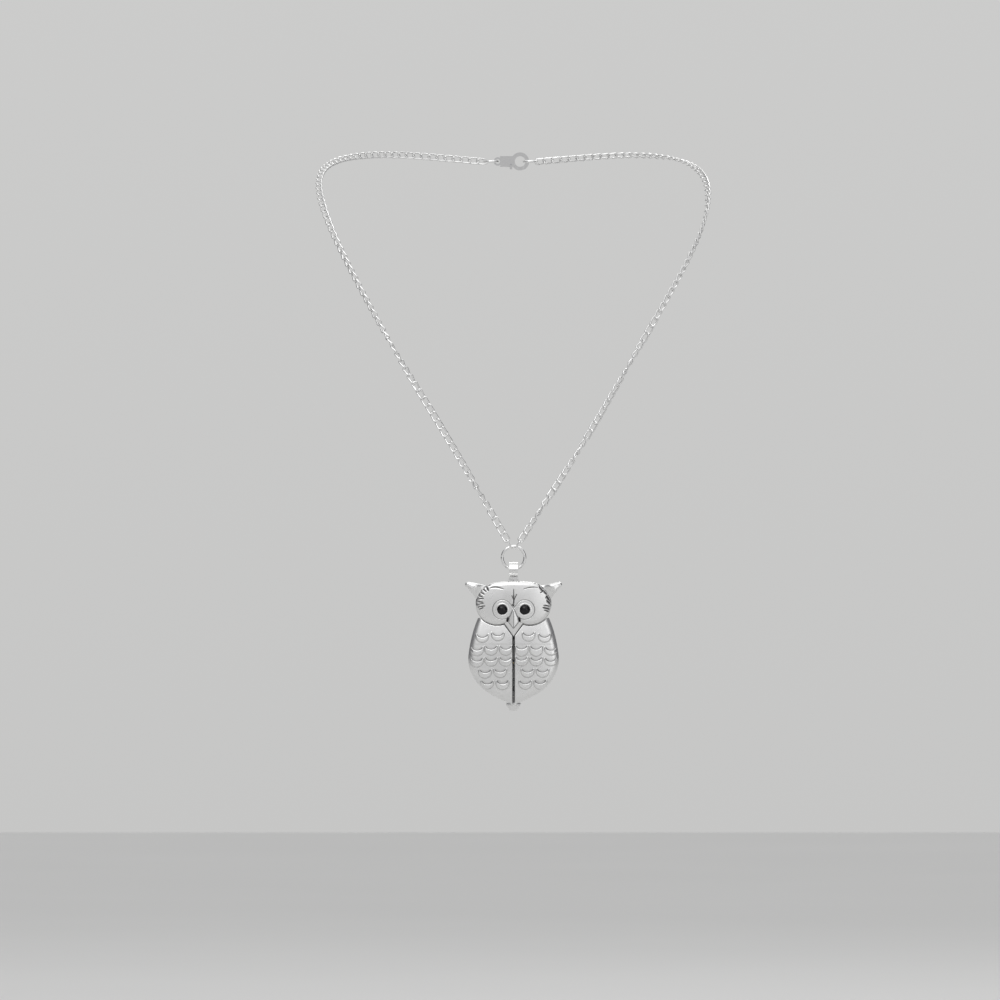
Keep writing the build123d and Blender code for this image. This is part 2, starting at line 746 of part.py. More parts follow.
def make_main_plate():
    plate = disc(plate_radius, plate_front, plate_back)
    plate = plate + washer(plate_radius, plate_radius - plate_rim_width, plate_back, rim_back)
    plate = plate - disc(works_radius, -overrun, web_front)
    plate = plate - disc(cannon_outer + pivot_play, -overrun, overrun)
    plate = plate + disc(minute_post_radius, hour_level, web_front + arbor_end, minute_x, minute_z)
    plate = plate - disc(cell_radius + cell_play, cell_front, rim_back + overrun, cell_x, cell_z)
    for x, z in ((third_x, third_z), (fifth_x, fifth_z), (rotor_x, rotor_z)):
        plate = plate - disc(arbor_radius + pivot_play, plate_back - 2 * arbor_end, plate_back + overrun, x, z)
    for x, z in pillar_places:
        plate = plate + disc(pillar_radius, web_front, bridge_front, x, z)
        plate = plate - screw_hole(bridge_back, x, z)
    for x, z in clamp_places:
        plate = plate + disc(pillar_radius, web_front, cell_back, x, z)
        plate = plate - screw_hole(cell_back + clamp_thickness, x, z)
    for side in (-1, 1):
        post_x = coil_x + side * (stator_reach - stator_leg_width / 2)
        plate = plate + disc(stator_post_radius, web_front, stator_front, post_x, coil_z)
    lever_back = lever_front + lever_thickness
    plate = plate + disc(lever_post_radius, web_front, lever_back, lever_pivot_x, stem_groove_z)
    stem_way = upright_rod(pinion_radius + stem_bore_play, -plate_radius - overrun, stem_top_z + pinion_length, stem_y)
    plate = plate - stem_way
    return one(plate)


def screw_hole(seat, x, z):
    return disc(screw_shank_radius + screw_play, seat - screw_length, seat + overrun, x, z)


def make_screw(seat, x, z):
    head = disc(screw_head_radius, seat, seat + screw_head_height, x, z)
    slot = Pos(x, seat + screw_head_height, z) * Box(3 * screw_head_radius, screw_slot, screw_slot)
    shank = disc(screw_shank_radius, seat - screw_length, seat, x, z)
    return head - slot + shank


def make_screws():
    screws = [make_screw(bridge_back, x, z) for x, z in pillar_places]
    screws += [make_screw(cell_back + clamp_thickness, x, z) for x, z in clamp_places]
    return group(screws)


def make_bridge():
    # The plate reaches past each pillar by the pillar's radius
    (right_x, right_z), (left_x, left_z), (top_x, top_z) = pillar_places
    plan = outline(
        (left_x - pillar_radius, left_z - pillar_radius), (right_x + pillar_radius, right_z - pillar_radius),
        (top_x + pillar_radius, top_z + pillar_radius), (rotor_x - stator_ring_radius, top_z + pillar_radius),
        (left_x, rotor_z),
    )
    bridge = slab(plan, bridge_front, bridge_back)
    for x, z in ((0, 0), (third_x, third_z), (fifth_x, fifth_z), (rotor_x, rotor_z)):
        bridge = bridge - disc(arbor_radius + pivot_play, bridge_front, bridge_front + 2 * arbor_end, x, z)
    for x, z in pillar_places:
        bridge = bridge - screw_hole(bridge_back, x, z)
    return one(bridge)


def make_holder():
    holder = washer(holder_radius, plate_radius + holder_play, plate_front, plate_front + holder_depth)
    stem_way = upright_rod(stem_radius + stem_bore_play, -holder_radius - overrun, -works_radius, stem_y)
    return one(holder - stem_way)


def make_cell():
    can = disc(cell_radius, cell_front, cell_back - cell_rim, cell_x, cell_z)
    cap = disc(cell_radius - cell_rim, cell_front, cell_back, cell_x, cell_z)
    return one(can + cap)


def make_cell_clamp():
    (top_x, top_z), (low_x_end, low_z_end) = clamp_places
    length = math.hypot(top_x - low_x_end, top_z - low_z_end)
    angle = math.degrees(math.atan2(top_z - low_z_end, top_x - low_x_end))
    bar = Rot(0, 0, angle) * SlotCenterToCenter(length, clamp_width)
    bar = Pos((top_x + low_x_end) / 2, (top_z + low_z_end) / 2) * bar
    clamp = slab(bar, cell_back, cell_back + clamp_thickness)
    for x, z in clamp_places:
        clamp = clamp - screw_hole(cell_back + clamp_thickness, x, z)
    return one(clamp)


def make_board():
    middle_z = (board_top_z + board_bottom_z) / 2
    window = Rectangle(plate_radius, board_top_z - board_bottom_z)
    window = Pos(board_left_x + plate_radius / 2, middle_z) * window
    board = slab(Circle(board_radius) & window, rim_back, rim_back + board_thickness)
    chip = slab(Pos(chip_x, chip_z) * Rectangle(chip_size, chip_size), rim_back + board_thickness,
                rim_back + board_thickness + chip_height)
    return group([board, chip])


def make_quartz_can():
    barrel = Pos(can_x, rim_back - can_radius, can_z) * Rot(0, 90, 0) * Cylinder(can_radius, can_length)
    return barrel


def make_coil():
    along = Pos(coil_x, coil_y, coil_z) * Rot(0, 90, 0)
    winding = along * Cylinder(coil_radius, coil_length)
    flange = along * Box(2 * coil_radius, 2 * coil_radius, coil_flange)
    for side in (-1, 1):
        winding = winding + Pos(side * coil_length / 2, 0, 0) * flange
    return one(winding - Pos(coil_x, coil_y, coil_z) * Box(2 * coil_length, coil_core, coil_core))


def stator_leg(side):
    # From the end of the core, past the coil, to the ring round the rotor
    end_x = coil_x + side * stator_reach
    inner_x = end_x - side * stator_leg_width
    top_z = coil_z + stator_leg_width / 2
    coil_bottom_z = coil_z - coil_radius - stator_coil_gap
    return outline(
        (end_x, top_z), (end_x, coil_bottom_z - stator_coil_gap), (rotor_x, rotor_z + stator_bore),
        (rotor_x, rotor_z + stator_bore + stator_leg_width), (inner_x, coil_bottom_z), (inner_x, top_z),
    )


def make_stator():
    core = Pos(coil_x, coil_z) * Rectangle(2 * stator_reach, coil_core - 2 * screw_play)
    plan = stator_leg(-1) + stator_leg(1) + Pos(rotor_x, rotor_z) * Circle(stator_ring_radius) + core
    plan = plan - Pos(rotor_x, rotor_z) * Circle(stator_bore) - Pos(fifth_x, fifth_z) * Circle(stator_clear)
    return one(slab(plan, stator_front, stator_front + stator_thickness))


def make_stem():
    stem = upright_rod(stem_radius, crown_bottom_z + crown_end_radius, stem_top_z, stem_y)
    groove_low, groove_high = stem_groove_z - stem_groove_half, stem_groove_z + stem_groove_half
    groove = upright_rod(2 * stem_radius, groove_low, groove_high, stem_y)
    core = upright_rod(stem_groove_radius, groove_low, groove_high, stem_y)
    return one(stem - (groove - core))


def make_sliding_pinion():
    pinion = upright_rod(pinion_radius, stem_top_z - pinion_length, stem_top_z, stem_y)
    cut_low, cut_high = stem_top_z - pinion_length - overrun, stem_top_z + overrun
    flute = upright_rod(pinion_flute_radius, cut_low, cut_high, stem_y)
    for count in range(pinion_flutes):
        x, y = polar(pinion_radius, 360 / pinion_flutes * count)
        pinion = pinion - Pos(x, y, 0) * flute
    return one(pinion - upright_rod(stem_radius, cut_low, cut_high, stem_y))


def make_crown():
    # The profile runs down the outside of a tapered cup with a lip
    profile = Polyline(
        (0, crown_top_z), (crown_lip_radius, crown_top_z), (crown_lip_radius, crown_top_z - crown_lip_height),
        (crown_mid_radius, crown_mid_z), (crown_end_radius, crown_bottom_z), (0, crown_bottom_z), close=True,
    )
    cup = Pos(0, stem_y, 0) * revolve(Plane.XZ * make_face(profile), Axis.Z)
    for flute in range(crown_flutes):
        x, y = polar(crown_lip_radius, 360 / crown_flutes * flute)
        groove = upright_rod(crown_flute_radius, crown_bottom_z - overrun, crown_top_z - crown_lip_height, stem_y)
        cup = cup - Pos(x, y, 0) * groove
    cup = cup - upright_rod(crown_recess_radius, crown_top_z - crown_recess_depth, crown_top_z + overrun, stem_y)
    return one(cup - upright_rod(stem_radius, crown_bottom_z + crown_end_radius, crown_top_z, stem_y))


def make_crown_tube():
    low_z = crown_top_z - tube_stick_out
    tube = upright_rod(tube_outer, low_z, tube_inside_z, stem_y)
    return one(tube - upright_rod(tube_bore, low_z - overrun, tube_inside_z + overrun, stem_y))


def make_crown_seal():
    middle = (tube_outer + crown_recess_radius) / 2
    return Pos(0, stem_y, crown_seal_z) * Torus(middle, crown_seal_half)


def make_setting_lever():
    arm = Pos(lever_pivot_x / 2, stem_groove_z) * Rectangle(lever_pivot_x, lever_arm_width)
    plan = Pos(lever_pivot_x, stem_groove_z) * Circle(lever_boss_radius) + arm
    plan = plan - Pos(lever_pivot_x, stem_groove_z) * Circle(lever_post_radius + pivot_play)
    lever = slab(plan, lever_front, lever_front + lever_thickness)
    return one(lever + disc(lever_finger_radius, lever_finger_front, lever_front, lever_finger_radius, stem_groove_z))


def wire_link(half_height):
    # A closed oval of wire: one end is turned up by the half height and the other down
    x, y, z = link_half_length, link_half_width, half_height
    reach = math.hypot(y, z)
    corners = [Vector(x, y, z), Vector(-x, y, -z), Vector(-x, -y, z), Vector(x, -y, -z)]
    tips = [Vector(x, 0, 0), Vector(-x, 0, 0)]
    spans = []
    halves = ((tips[0], tips[1], corners[0], corners[1]), (tips[1], tips[0], corners[2], corners[3]))
    for tip, far_tip, near, far in halves:
        along = (far - near).normalized()
        first, last = near + along * reach, far - along * reach
        spans.append(TangentArc(tip, first, tangent=near - tip))
        spans.append(Line(first, last))
        spans.append(TangentArc(last, far_tip, tangent=along))
    sections = [Plane(origin=span @ 0, z_dir=span % 0) * Circle(link_wire_radius) for span in spans]
    tubes = [sweep(section, path=span) for section, span in zip(sections, spans)]
    skin = [face for tube in tubes for face in tube.faces() if face.geom_type != GeomType.PLANE]
    return Solid(Shell(skin))


def route_path(points):
    # Straight runs joined by tangent arcs, each as large as its shorter run allows
    radii = []
    for before, point, after in zip(points, points[1:], points[2:]):
        first, second = Vector(point) - Vector(before), Vector(after) - Vector(point)
        half_turn = math.radians(first.get_angle(second)) / 2
        radii.append(wind_share * min(first.length, second.length) / math.tan(half_turn))
    return FilletPolyline(*points, radius=radii)


def twist_at(table, share):
    for (start, low), (end, high) in zip(table, table[1:]):
        if share <= end:
            return low + (high - low) * (share - start) / (end - start)
    return table[-1][1]


def link_place(path, share, twist):
    # A link's frame: along the run, with its flat side turned out from the neck
    point, along = path @ share, path % share
    outward = Vector(point.X, point.Y - neck_y, 0)
    outward = (outward - along * outward.dot(along)).normalized()
    side = along.cross(outward)
    angle = math.radians(twist)
    facing = outward * math.cos(angle) + side * math.sin(angle)
    return Location(Plane(origin=point, x_dir=along, z_dir=facing))


def chain_run(route, table):
    path = route_path(route)
    count = int(path.length / link_pitch)
    link = wire_link(-link_half_height)
    places = []
    for index in range(count + 1):
        share = index / count
        places.append(link_place(path, share, twist_at(table, share)) * link)
    print("run of chain:", round(path.length, 1), "mm,", len(places), "links")
    return places


def end_link(side):
    # A flat link round the top of the jump ring, seen on edge, leaning along its run
    wire_z = ring_z + math.sqrt(ring_radius ** 2 - end_link_x ** 2)
    start = Vector(side * end_link_x, hang_y, wire_z)
    route = left_route if side < 0 else right_route
    along = (Vector(route[0]) - start).normalized()
    middle = start + along * (link_half_length - link_half_width)
    flat = Plane(origin=middle, x_dir=along, z_dir=Vector(0, 1, 0).cross(along))
    return Location(flat) * wire_link(0)


def at_nape(shape):
    return Pos(0, nape_y, nape_z) * shape


def clasp_slab(face, thickness):
    return at_nape(slab(face, -thickness / 2, thickness / 2))


def gate_wedge(start, end):
    reach = 2 * clasp_hook_outer
    middle = (start + end) / 2
    points = [(0, 0)] + [polar(reach, angle) for angle in (start, middle, end)]
    return Pos(clasp_hook_u, 0) * outline(*points)


def tip_sweep(play):
    # What the lever's tip can reach round its pin, on the nose's side
    near = Rectangle(2 * clasp_hook_outer, 2 * clasp_hook_outer)
    near = Pos(clasp_hook_u + clasp_hook_outer, -clasp_hook_outer) * near
    return near & (Pos(clasp_pin_u, clasp_pin_v) * Circle(clasp_tip_reach + play))


def make_clasp_body():
    hook = Pos(clasp_hook_u, 0) * (Circle(clasp_hook_outer) - Circle(clasp_hook_inner))
    hook = hook - gate_wedge(clasp_gate_start, clasp_gate_end) - tip_sweep(clasp_lever_play)
    bar = Rectangle(clasp_bar_right_u - clasp_bar_left_u, 2 * clasp_bar_half)
    bar = Pos((clasp_bar_left_u + clasp_bar_right_u) / 2, 0) * bar
    bar = bar - Pos(clasp_hook_u, 0) * Circle(clasp_hook_inner)
    eye = Pos(clasp_eye_u, 0) * (Circle(clasp_eye_outer) - Circle(clasp_eye_bore))
    plan = hook + bar + eye - Pos(clasp_eye_u, 0) * Circle(clasp_eye_bore)
    body = clasp_slab(plan, clasp_thickness)
    pocket = Pos(clasp_pin_u, clasp_pin_v) * Circle(clasp_pocket_radius) + spring_window()
    body = body - clasp_slab(pocket, clasp_slot)
    pin_hole = Pos(clasp_pin_u, clasp_pin_v) * Circle(clasp_pin_radius)
    body = body - clasp_slab(pin_hole, clasp_thickness + overrun)
    # The hook is thinner than the bar
    nose = Rectangle(2 * clasp_hook_outer, 3 * clasp_hook_outer)
    nose = Pos(clasp_hook_start_u + clasp_hook_outer, 0) * nose
    nose_half = clasp_hook_thickness / 2
    for front, back in ((-nose_half - overrun, -nose_half), (nose_half, nose_half + overrun)):
        body = body - at_nape(slab(nose, front, back))
    return one(body)


def spring_window():
    return Pos(clasp_spring_u, clasp_spring_v) * Rectangle(clasp_spring_length, clasp_spring_thickness)


def make_clasp_lever():
    arc_outer = clasp_hook_outer - clasp_lever_play
    arc_inner = clasp_hook_inner
    arc = Pos(clasp_hook_u, 0) * (Circle(arc_outer) - Circle(arc_inner))
    arc = arc & gate_wedge(clasp_gate_start + clasp_lever_trim, clasp_tip_end)
    arc = arc & (Pos(clasp_pin_u, clasp_pin_v) * Circle(clasp_tip_reach))
    boss = Pos(clasp_pin_u, clasp_pin_v) * Circle(clasp_lever_boss)
    arm_end_u, arm_end_v = polar((arc_outer + arc_inner) / 2, clasp_gate_start + 2 * clasp_lever_trim)
    arm = Line((clasp_pin_u, clasp_pin_v), (clasp_hook_u + arm_end_u, arm_end_v))
    arm = trace(arm, clasp_lever_boss)
    thumb = Pos(clasp_pin_u, clasp_pin_v - clasp_thumb_length / 2) * Rectangle(clasp_thumb_width, clasp_thumb_length)
    plan = arc + boss + arm + thumb - Pos(clasp_pin_u, clasp_pin_v) * Circle(clasp_pin_radius + clasp_pin_play)
    return one(clasp_slab(plan, clasp_slot - 2 * clasp_lever_play))


def make_clasp_pin():
    return clasp_slab(Pos(clasp_pin_u, clasp_pin_v) * Circle(clasp_pin_radius), clasp_thickness)


def make_clasp_spring():
    return clasp_slab(spring_window(), clasp_spring_width)


def make_end_ring(side):
    if side < 0:
        reach = clasp_eye_u - end_ring_radius
    else:
        reach = clasp_hook_u + clasp_hook_inner + end_ring_radius - end_ring_wire - end_ring_play
    ring = Rot(90, 0, 0) * wire_ring(end_ring_radius, end_ring_wire, ring_cut, ring_cut_angle)
    return at_nape(Pos(reach, 0, 0) * ring)


left_links = chain_run(left_route, left_twist)
right_links = chain_run(right_route, right_twist)
left_split, right_split = len(left_links) // 2, len(right_links) // 2
left_wing = make_left_wing()

pieces = {
    "case_body": make_case(),
    "case_back": make_case_back(),
    "back_gasket": back_gasket_ring(cover_seat),
    "head_cover": make_head(),
    "left_eye_stone": make_eye_stone(-1),
    "right_eye_stone": make_eye_stone(1),
    "left_wing": left_wing,
    "right_wing": mirrored(left_wing),
    "left_wing_pin": make_wing_pin(-1),
    "right_wing_pin": make_wing_pin(1),
    "left_wing_washer": make_wing_washer(-1),
    "right_wing_washer": make_wing_washer(1),
    "crystal": disc(crystal_radius, crystal_sink, crystal_back),
    "crystal_gasket": washer(crystal_radius + gasket_width, crystal_radius, crystal_sink, crystal_back),
    "hanging_loop": make_hanging_loop(),
    "jump_ring": make_jump_ring(),
    "dial": make_dial(),
    "hour_markers": make_markers(),
    "hour_hand": make_hand(hour_hand_length, hour_hand_width, hour_hub_radius, hour_pipe_outer,
                           hour_hand_back, hour_turn),
    "minute_hand": make_hand(minute_hand_length, minute_hand_width, minute_hub_radius, cannon_outer,
                             minute_hand_back, minute_turn),
    "second_hand": make_hand(second_hand_length, second_hand_width, second_hub_radius, second_arbor_radius,
                             second_hand_back, second_turn, second_hand_tail),
    "movement_holder": make_holder(),
    "main_plate": make_main_plate(),
    "train_bridge": make_bridge(),
    "movement_screws": make_screws(),
    "button_cell": make_cell(),
    "cell_clamp": make_cell_clamp(),
    "circuit_board": make_board(),
    "quartz_can": make_quartz_can(),
    "coil": make_coil(),
    "stator": make_stator(),
    "rotor": make_rotor(),
    "fifth_wheel": make_fifth_wheel(),
    "second_wheel": make_second_wheel(),
    "third_wheel": make_third_wheel(),
    "centre_wheel": make_centre_wheel(),
    "minute_wheel": make_minute_wheel(),
    "hour_wheel": make_hour_wheel(),
    "stem": make_stem(),
    "sliding_pinion": make_sliding_pinion(),
    "setting_lever": make_setting_lever(),
    "crown": make_crown(),
    "crown_tube": make_crown_tube(),
    "crown_seal": make_crown_seal(),
    "chain_end_links": group([end_link(-1), end_link(1)]),
    "chain_left_front": group(left_links[:left_split]),
    "chain_left_back": group(left_links[left_split:]),
    "chain_right_front": group(right_links[:right_split]),
    "chain_right_back": group(right_links[right_split:]),
    "clasp_body": make_clasp_body(),
    "clasp_lever": make_clasp_lever(),
    "clasp_pin": make_clasp_pin(),
    "clasp_spring": make_clasp_spring(),
    "clasp_ring": make_end_ring(-1),
    "catch_ring": make_end_ring(1),
}

os.makedirs("parts", exist_ok=True)
for name, piece in pieces.items():
    export_step(Pos(0, -nape_y, -nape_z) * piece, "parts/" + name + ".step")
print("pieces:", len(pieces))
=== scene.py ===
import json
import math

import bmesh
import bpy
import numpy as np
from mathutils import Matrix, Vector


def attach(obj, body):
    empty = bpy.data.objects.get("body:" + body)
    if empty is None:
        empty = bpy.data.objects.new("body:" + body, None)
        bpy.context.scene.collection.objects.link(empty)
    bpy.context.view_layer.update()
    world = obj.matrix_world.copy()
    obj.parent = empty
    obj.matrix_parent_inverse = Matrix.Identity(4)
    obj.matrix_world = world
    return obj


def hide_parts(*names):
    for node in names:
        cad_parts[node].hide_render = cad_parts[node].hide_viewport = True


# An owl pendant watch on its curb chain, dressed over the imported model.
# Lengths in the dictionaries of the pieces are millimetres from the middle of the dial: x to the
# right, y backwards, z up. The materials, the floor and the lamps are in metres.

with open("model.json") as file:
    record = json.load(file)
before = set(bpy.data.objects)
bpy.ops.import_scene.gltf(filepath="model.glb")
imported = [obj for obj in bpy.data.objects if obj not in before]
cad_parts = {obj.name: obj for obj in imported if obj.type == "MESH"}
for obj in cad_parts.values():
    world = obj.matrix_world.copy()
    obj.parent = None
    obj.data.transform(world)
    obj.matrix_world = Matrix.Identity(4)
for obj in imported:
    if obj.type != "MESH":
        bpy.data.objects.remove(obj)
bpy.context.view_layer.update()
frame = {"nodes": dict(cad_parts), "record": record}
nodes = frame["nodes"]
print("frame loaded:", len(nodes), "nodes")

place = {"napeY": 88.0, "napeZ": 158.5, "metre": 1000.0}


def toRow(points):
    # Metres from the nape = (millimetres from the dial - the nape's place) / 1000
    nape = np.array([0.0, place["napeY"], place["napeZ"]])
    return (np.asarray(points, float) - nape) / place["metre"]


def sceneObject(name, data):
    # A new object in the scene, left at the origin
    holder = bpy.data.objects.new(name, data)
    bpy.context.scene.collection.objects.link(holder)
    return holder


# Camera: level, and far away, so that the view is nearly flat

camera = {
    "x": -4.2, "z": 50.5, "distance": 3000.0, "frameWidth": 310.0, "sensor": 36.0,
    "nearest": 0.05, "farthest": 50.0,
}


def makeCamera():
    # Focal length = sensor width x distance / width of the view at the dial
    data = bpy.data.cameras.new("camera")
    data.sensor_width = camera["sensor"]
    data.lens = camera["sensor"] * camera["distance"] / camera["frameWidth"]
    data.clip_start, data.clip_end = camera["nearest"], camera["farthest"]
    holder = sceneObject("camera", data)
    holder.location = toRow([camera["x"], -camera["distance"], camera["z"]])
    holder.rotation_euler = (math.radians(90), 0, 0)
    bpy.context.scene.camera = holder


makeCamera()
print("camera placed")

# Small helpers for materials


def newMaterial(name, metallic=0.0):
    # A material, its node tree and its shader
    material = bpy.data.materials.new(name)
    material.use_nodes = True
    shader = material.node_tree.nodes["Principled BSDF"]
    shader.inputs["Metallic"].default_value = metallic
    return material, material.node_tree, shader


def feed(tree, node, inputs):
    # Each socket that is named takes a value, or a link from another node's output
    for key, value in dict(inputs).items():
        if isinstance(value, bpy.types.NodeSocket):
            tree.links.new(value, node.inputs[key])
        else:
            node.inputs[key].default_value = value


def addNode(tree, kind, inputs=(), **settings):
    # A node with its settings and its inputs
    node = tree.nodes.new(kind)
    for key, value in settings.items():
        setattr(node, key, value)
    feed(tree, node, inputs)
    return node


def mapRange(tree, source, start, end, low=0.0, high=1.0, **settings):
    # Goes from low to high while the source goes from start to end
    inputs = {"Value": source, "From Min": start, "From Max": end, "To Min": low, "To Max": high}
    return addNode(tree, "ShaderNodeMapRange", inputs, **settings).outputs["Result"]


def axisOutputs(tree, space):
    # X, Y and Z of a place, and its distance from x = 0
    coords = addNode(tree, "ShaderNodeTexCoord").outputs[space]
    axis = addNode(tree, "ShaderNodeSeparateXYZ", {"Vector": coords}).outputs
    return axis, addNode(tree, "ShaderNodeMath", {0: axis["X"]}, operation="ABSOLUTE").outputs[0]


def noiseRange(tree, scale, low, high, detail=4.0, stretch=None):
    # Noise on object coordinates: its middle part spread from low to high, and the bare noise
    spot = addNode(tree, "ShaderNodeTexCoord").outputs["Object"]
    if stretch:
        spot = addNode(tree, "ShaderNodeMapping", {"Vector": spot, "Scale": stretch}).outputs["Vector"]
    inputs = {"Vector": spot, "Scale": scale, "Detail": detail}
    noise = addNode(tree, "ShaderNodeTexNoise", inputs).outputs["Fac"]
    return mapRange(tree, noise, surface["noiseLow"], surface["noiseHigh"], low, high), noise


def addBump(tree, shader, height, strength, distance):
    # Tilts the shader's normal by the height's slope
    bump = addNode(tree, "ShaderNodeBump", {"Height": height, "Strength": strength, "Distance": distance})
    feed(tree, shader, {"Normal": bump.outputs["Normal"]})


def colourMix(tree, factor, first, second):
    # First where the factor is 0, second where it is 1; each is a colour or a node's output
    ends = [colour + (1.0,) if isinstance(colour, tuple) else colour for colour in (first, second)]
    inputs = {"Factor": factor, 6: ends[0], 7: ends[1]}
    return addNode(tree, "ShaderNodeMix", inputs, data_type="RGBA").outputs[2]


surface = {
    "noiseLow": 0.3, "noiseHigh": 0.7, "metalDull": 0.9, "metalDetail": 3.0, "plainDark": 0.86,
    "bumpDepth": 0.00001,
}


def makeCloudy(name, bright, dull, rough, scale, inputs=(), detail=4.0, stretch=None, bump=0.0):
    # One noise clouds the colour, the roughness between its two ends and, where there is one, the bump
    material, tree, shader = newMaterial(name)
    cloud, height = noiseRange(tree, scale, *rough, detail, stretch)
    feed(tree, shader, {"Base Color": colourMix(tree, height, bright, dull), "Roughness": cloud})
    feed(tree, shader, inputs)
    if bump:
        addBump(tree, shader, height, bump, surface["bumpDepth"])
    return material


def makeMetal(name, colour, rough, scale, stretch=None, bump=0.15):
    # Plain metal with a faint grain, drawn out along one axis where it is brushed
    duller = tuple(surface["metalDull"] * part for part in colour)
    detail = surface["metalDetail"]
    return makeCloudy(name, colour, duller, rough, scale, {"Metallic": 1.0}, detail, stretch, bump)


def makePlain(name, colour, rough, scale, coat=0.0, bump=0.1):
    # Lacquer, plastic or rubber, with a clear coat where it is glossy
    darker = tuple(surface["plainDark"] * part for part in colour)
    return makeCloudy(name, colour, darker, rough, scale, {"Coat Weight": coat}, bump=bump)


# Black glass, polished, with faint clouds that only show close by
stone = {
    "bright": (0.004, 0.004, 0.005), "dull": (0.012, 0.011, 0.013), "rough": (0.03, 0.09),
    "scale": 700.0, "inputs": {"IOR": 1.38},
}
# Mineral glass, thin enough to stand for itself as a clear film with a bright gloss
crystal = {
    "bright": (0.50, 0.54, 0.54), "dull": (0.42, 0.46, 0.47), "rough": (0.01, 0.04),
    "scale": 300.0, "inputs": {"Alpha": 0.09, "Specular IOR Level": 0.9},
}
# Pearl white lacquer on the dial, with a slow shimmer
pearl = {
    "bright": (0.88, 0.87, 0.83), "dull": (0.82, 0.825, 0.80), "rough": (0.22, 0.34), "scale": 420.0,
    "detail": 6.0, "stretch": (1.0, 1.0, 3.0), "inputs": {"Metallic": 0.15, "Coat Weight": 0.3},
}
# Cast silver; its dark colour stands for oxide in the engraved cuts and for painted shade in gaps, seams
# and hollows
castSilver = {
    "bright": (0.90, 0.90, 0.895), "dull": (0.80, 0.80, 0.795), "oxideAndShade": (0.035, 0.033, 0.035),
    "patinaRough": 0.35, "roughLow": 0.25, "roughHigh": 0.36, "cloudScale": 260.0,
    "grainScale": 5200.0, "grainDetail": 2.0, "grainStrength": 0.25, "grainDepth": 0.00002,
}


def castSurface(tree, shader):
    # Fine cast grain as a bump; gives back a cloudy roughness and the clouds
    grain = noiseRange(tree, castSilver["grainScale"], 0.0, 1.0, castSilver["grainDetail"])[1]
    addBump(tree, shader, grain, castSilver["grainStrength"], castSilver["grainDepth"])
    return noiseRange(tree, castSilver["cloudScale"], castSilver["roughLow"], castSilver["roughHigh"])


def makeCastSilver(withOxideShade):
    # Pearl silver plating with a soft cloudy sheen, and a dark matt colour where the layer is 1: oxide in
    # the engraved cuts, and painted shade in the gaps, seams and hollows
    material, tree, shader = newMaterial("castSilverOxideShade" if withOxideShade else "castSilver", 1.0)
    rough, cloud = castSurface(tree, shader)
    base = colourMix(tree, cloud, castSilver["bright"], castSilver["dull"])
    if withOxideShade:
        layer = addNode(tree, "ShaderNodeAttribute", attribute_name="oxideAndShade").outputs["Fac"]
        base = colourMix(tree, layer, base, castSilver["oxideAndShade"])
        matt = {0: layer, 1: castSilver["patinaRough"], 2: rough}
        rough = addNode(tree, "ShaderNodeMath", matt, operation="MULTIPLY_ADD").outputs[0]
    feed(tree, shader, {"Base Color": base, "Roughness": rough})
    return material


# Painted shade on the case's front behind the seam between the wings, and the silver's two tones
caseFront = {
    "bright": (0.80, 0.80, 0.795), "dull": (0.68, 0.68, 0.68), "paintedSeamShade": 0.75,
    "paintedShadeHalf": 0.0003, "paintedShadeEnd": 0.0016, "frontY": -0.0876, "behindY": -0.0872,
}


def makeCaseSilver():
    # The case's silver, with painted shade on its front near x = 0, where the seam between the wings is
    material, tree, shader = newMaterial("caseSilver", 1.0)
    rough, cloud = castSurface(tree, shader)
    axis, across = axisOutputs(tree, "Object")
    near = mapRange(tree, across, caseFront["paintedShadeHalf"], caseFront["paintedShadeEnd"], caseFront["paintedSeamShade"], 0.0)
    front = mapRange(tree, axis["Y"], caseFront["frontY"], caseFront["behindY"], 1.0, 0.0)
    paintedSeamShade = addNode(tree, "ShaderNodeMath", {0: near, 1: front}, operation="MULTIPLY").outputs[0]
    base = colourMix(tree, cloud, caseFront["bright"], caseFront["dull"])
    base = colourMix(tree, paintedSeamShade, base, castSilver["oxideAndShade"])
    feed(tree, shader, {"Base Color": base, "Roughness": rough})
    return material


turned = {
    "rings": {"Scale": 1400.0, "Distortion": 1.5, "Detail": 2.0}, "roughLow": 0.2, "roughHigh": 0.34,
    "bright": (0.68, 0.68, 0.69), "dull": (0.6, 0.6, 0.615), "bump": 0.2,
}


def makeTurnedSteel():
    # Steel turned on a lathe: fine rings round the dial's axis in the roughness and the bump
    material, tree, shader = newMaterial("turnedSteel", 1.0)
    coords = addNode(tree, "ShaderNodeTexCoord").outputs["Object"]
    inputs = {"Vector": coords, "Location": tuple(toRow([0.0, 0.0, 0.0]))}
    spot = addNode(tree, "ShaderNodeMapping", inputs, vector_type="TEXTURE").outputs["Vector"]
    inputs = {"Vector": spot, **turned["rings"]}
    wave = addNode(tree, "ShaderNodeTexWave", inputs, wave_type="RINGS", rings_direction="Y")
    rings = wave.outputs["Fac"]
    rough = mapRange(tree, rings, 0.0, 1.0, turned["roughLow"], turned["roughHigh"])
    colour = colourMix(tree, rings, turned["bright"], turned["dull"])
    feed(tree, shader, {"Base Color": colour, "Roughness": rough})
    addBump(tree, shader, rings, turned["bump"], surface["bumpDepth"])
    return material


copper = {
    "turns": {"Scale": 2600.0, "Distortion": 0.3}, "dark": (0.62, 0.27, 0.11), "bright": (0.85, 0.45, 0.22),
    "metallic": 0.9, "rough": 0.3, "bump": 0.5, "bumpDepth": 0.00002,
}


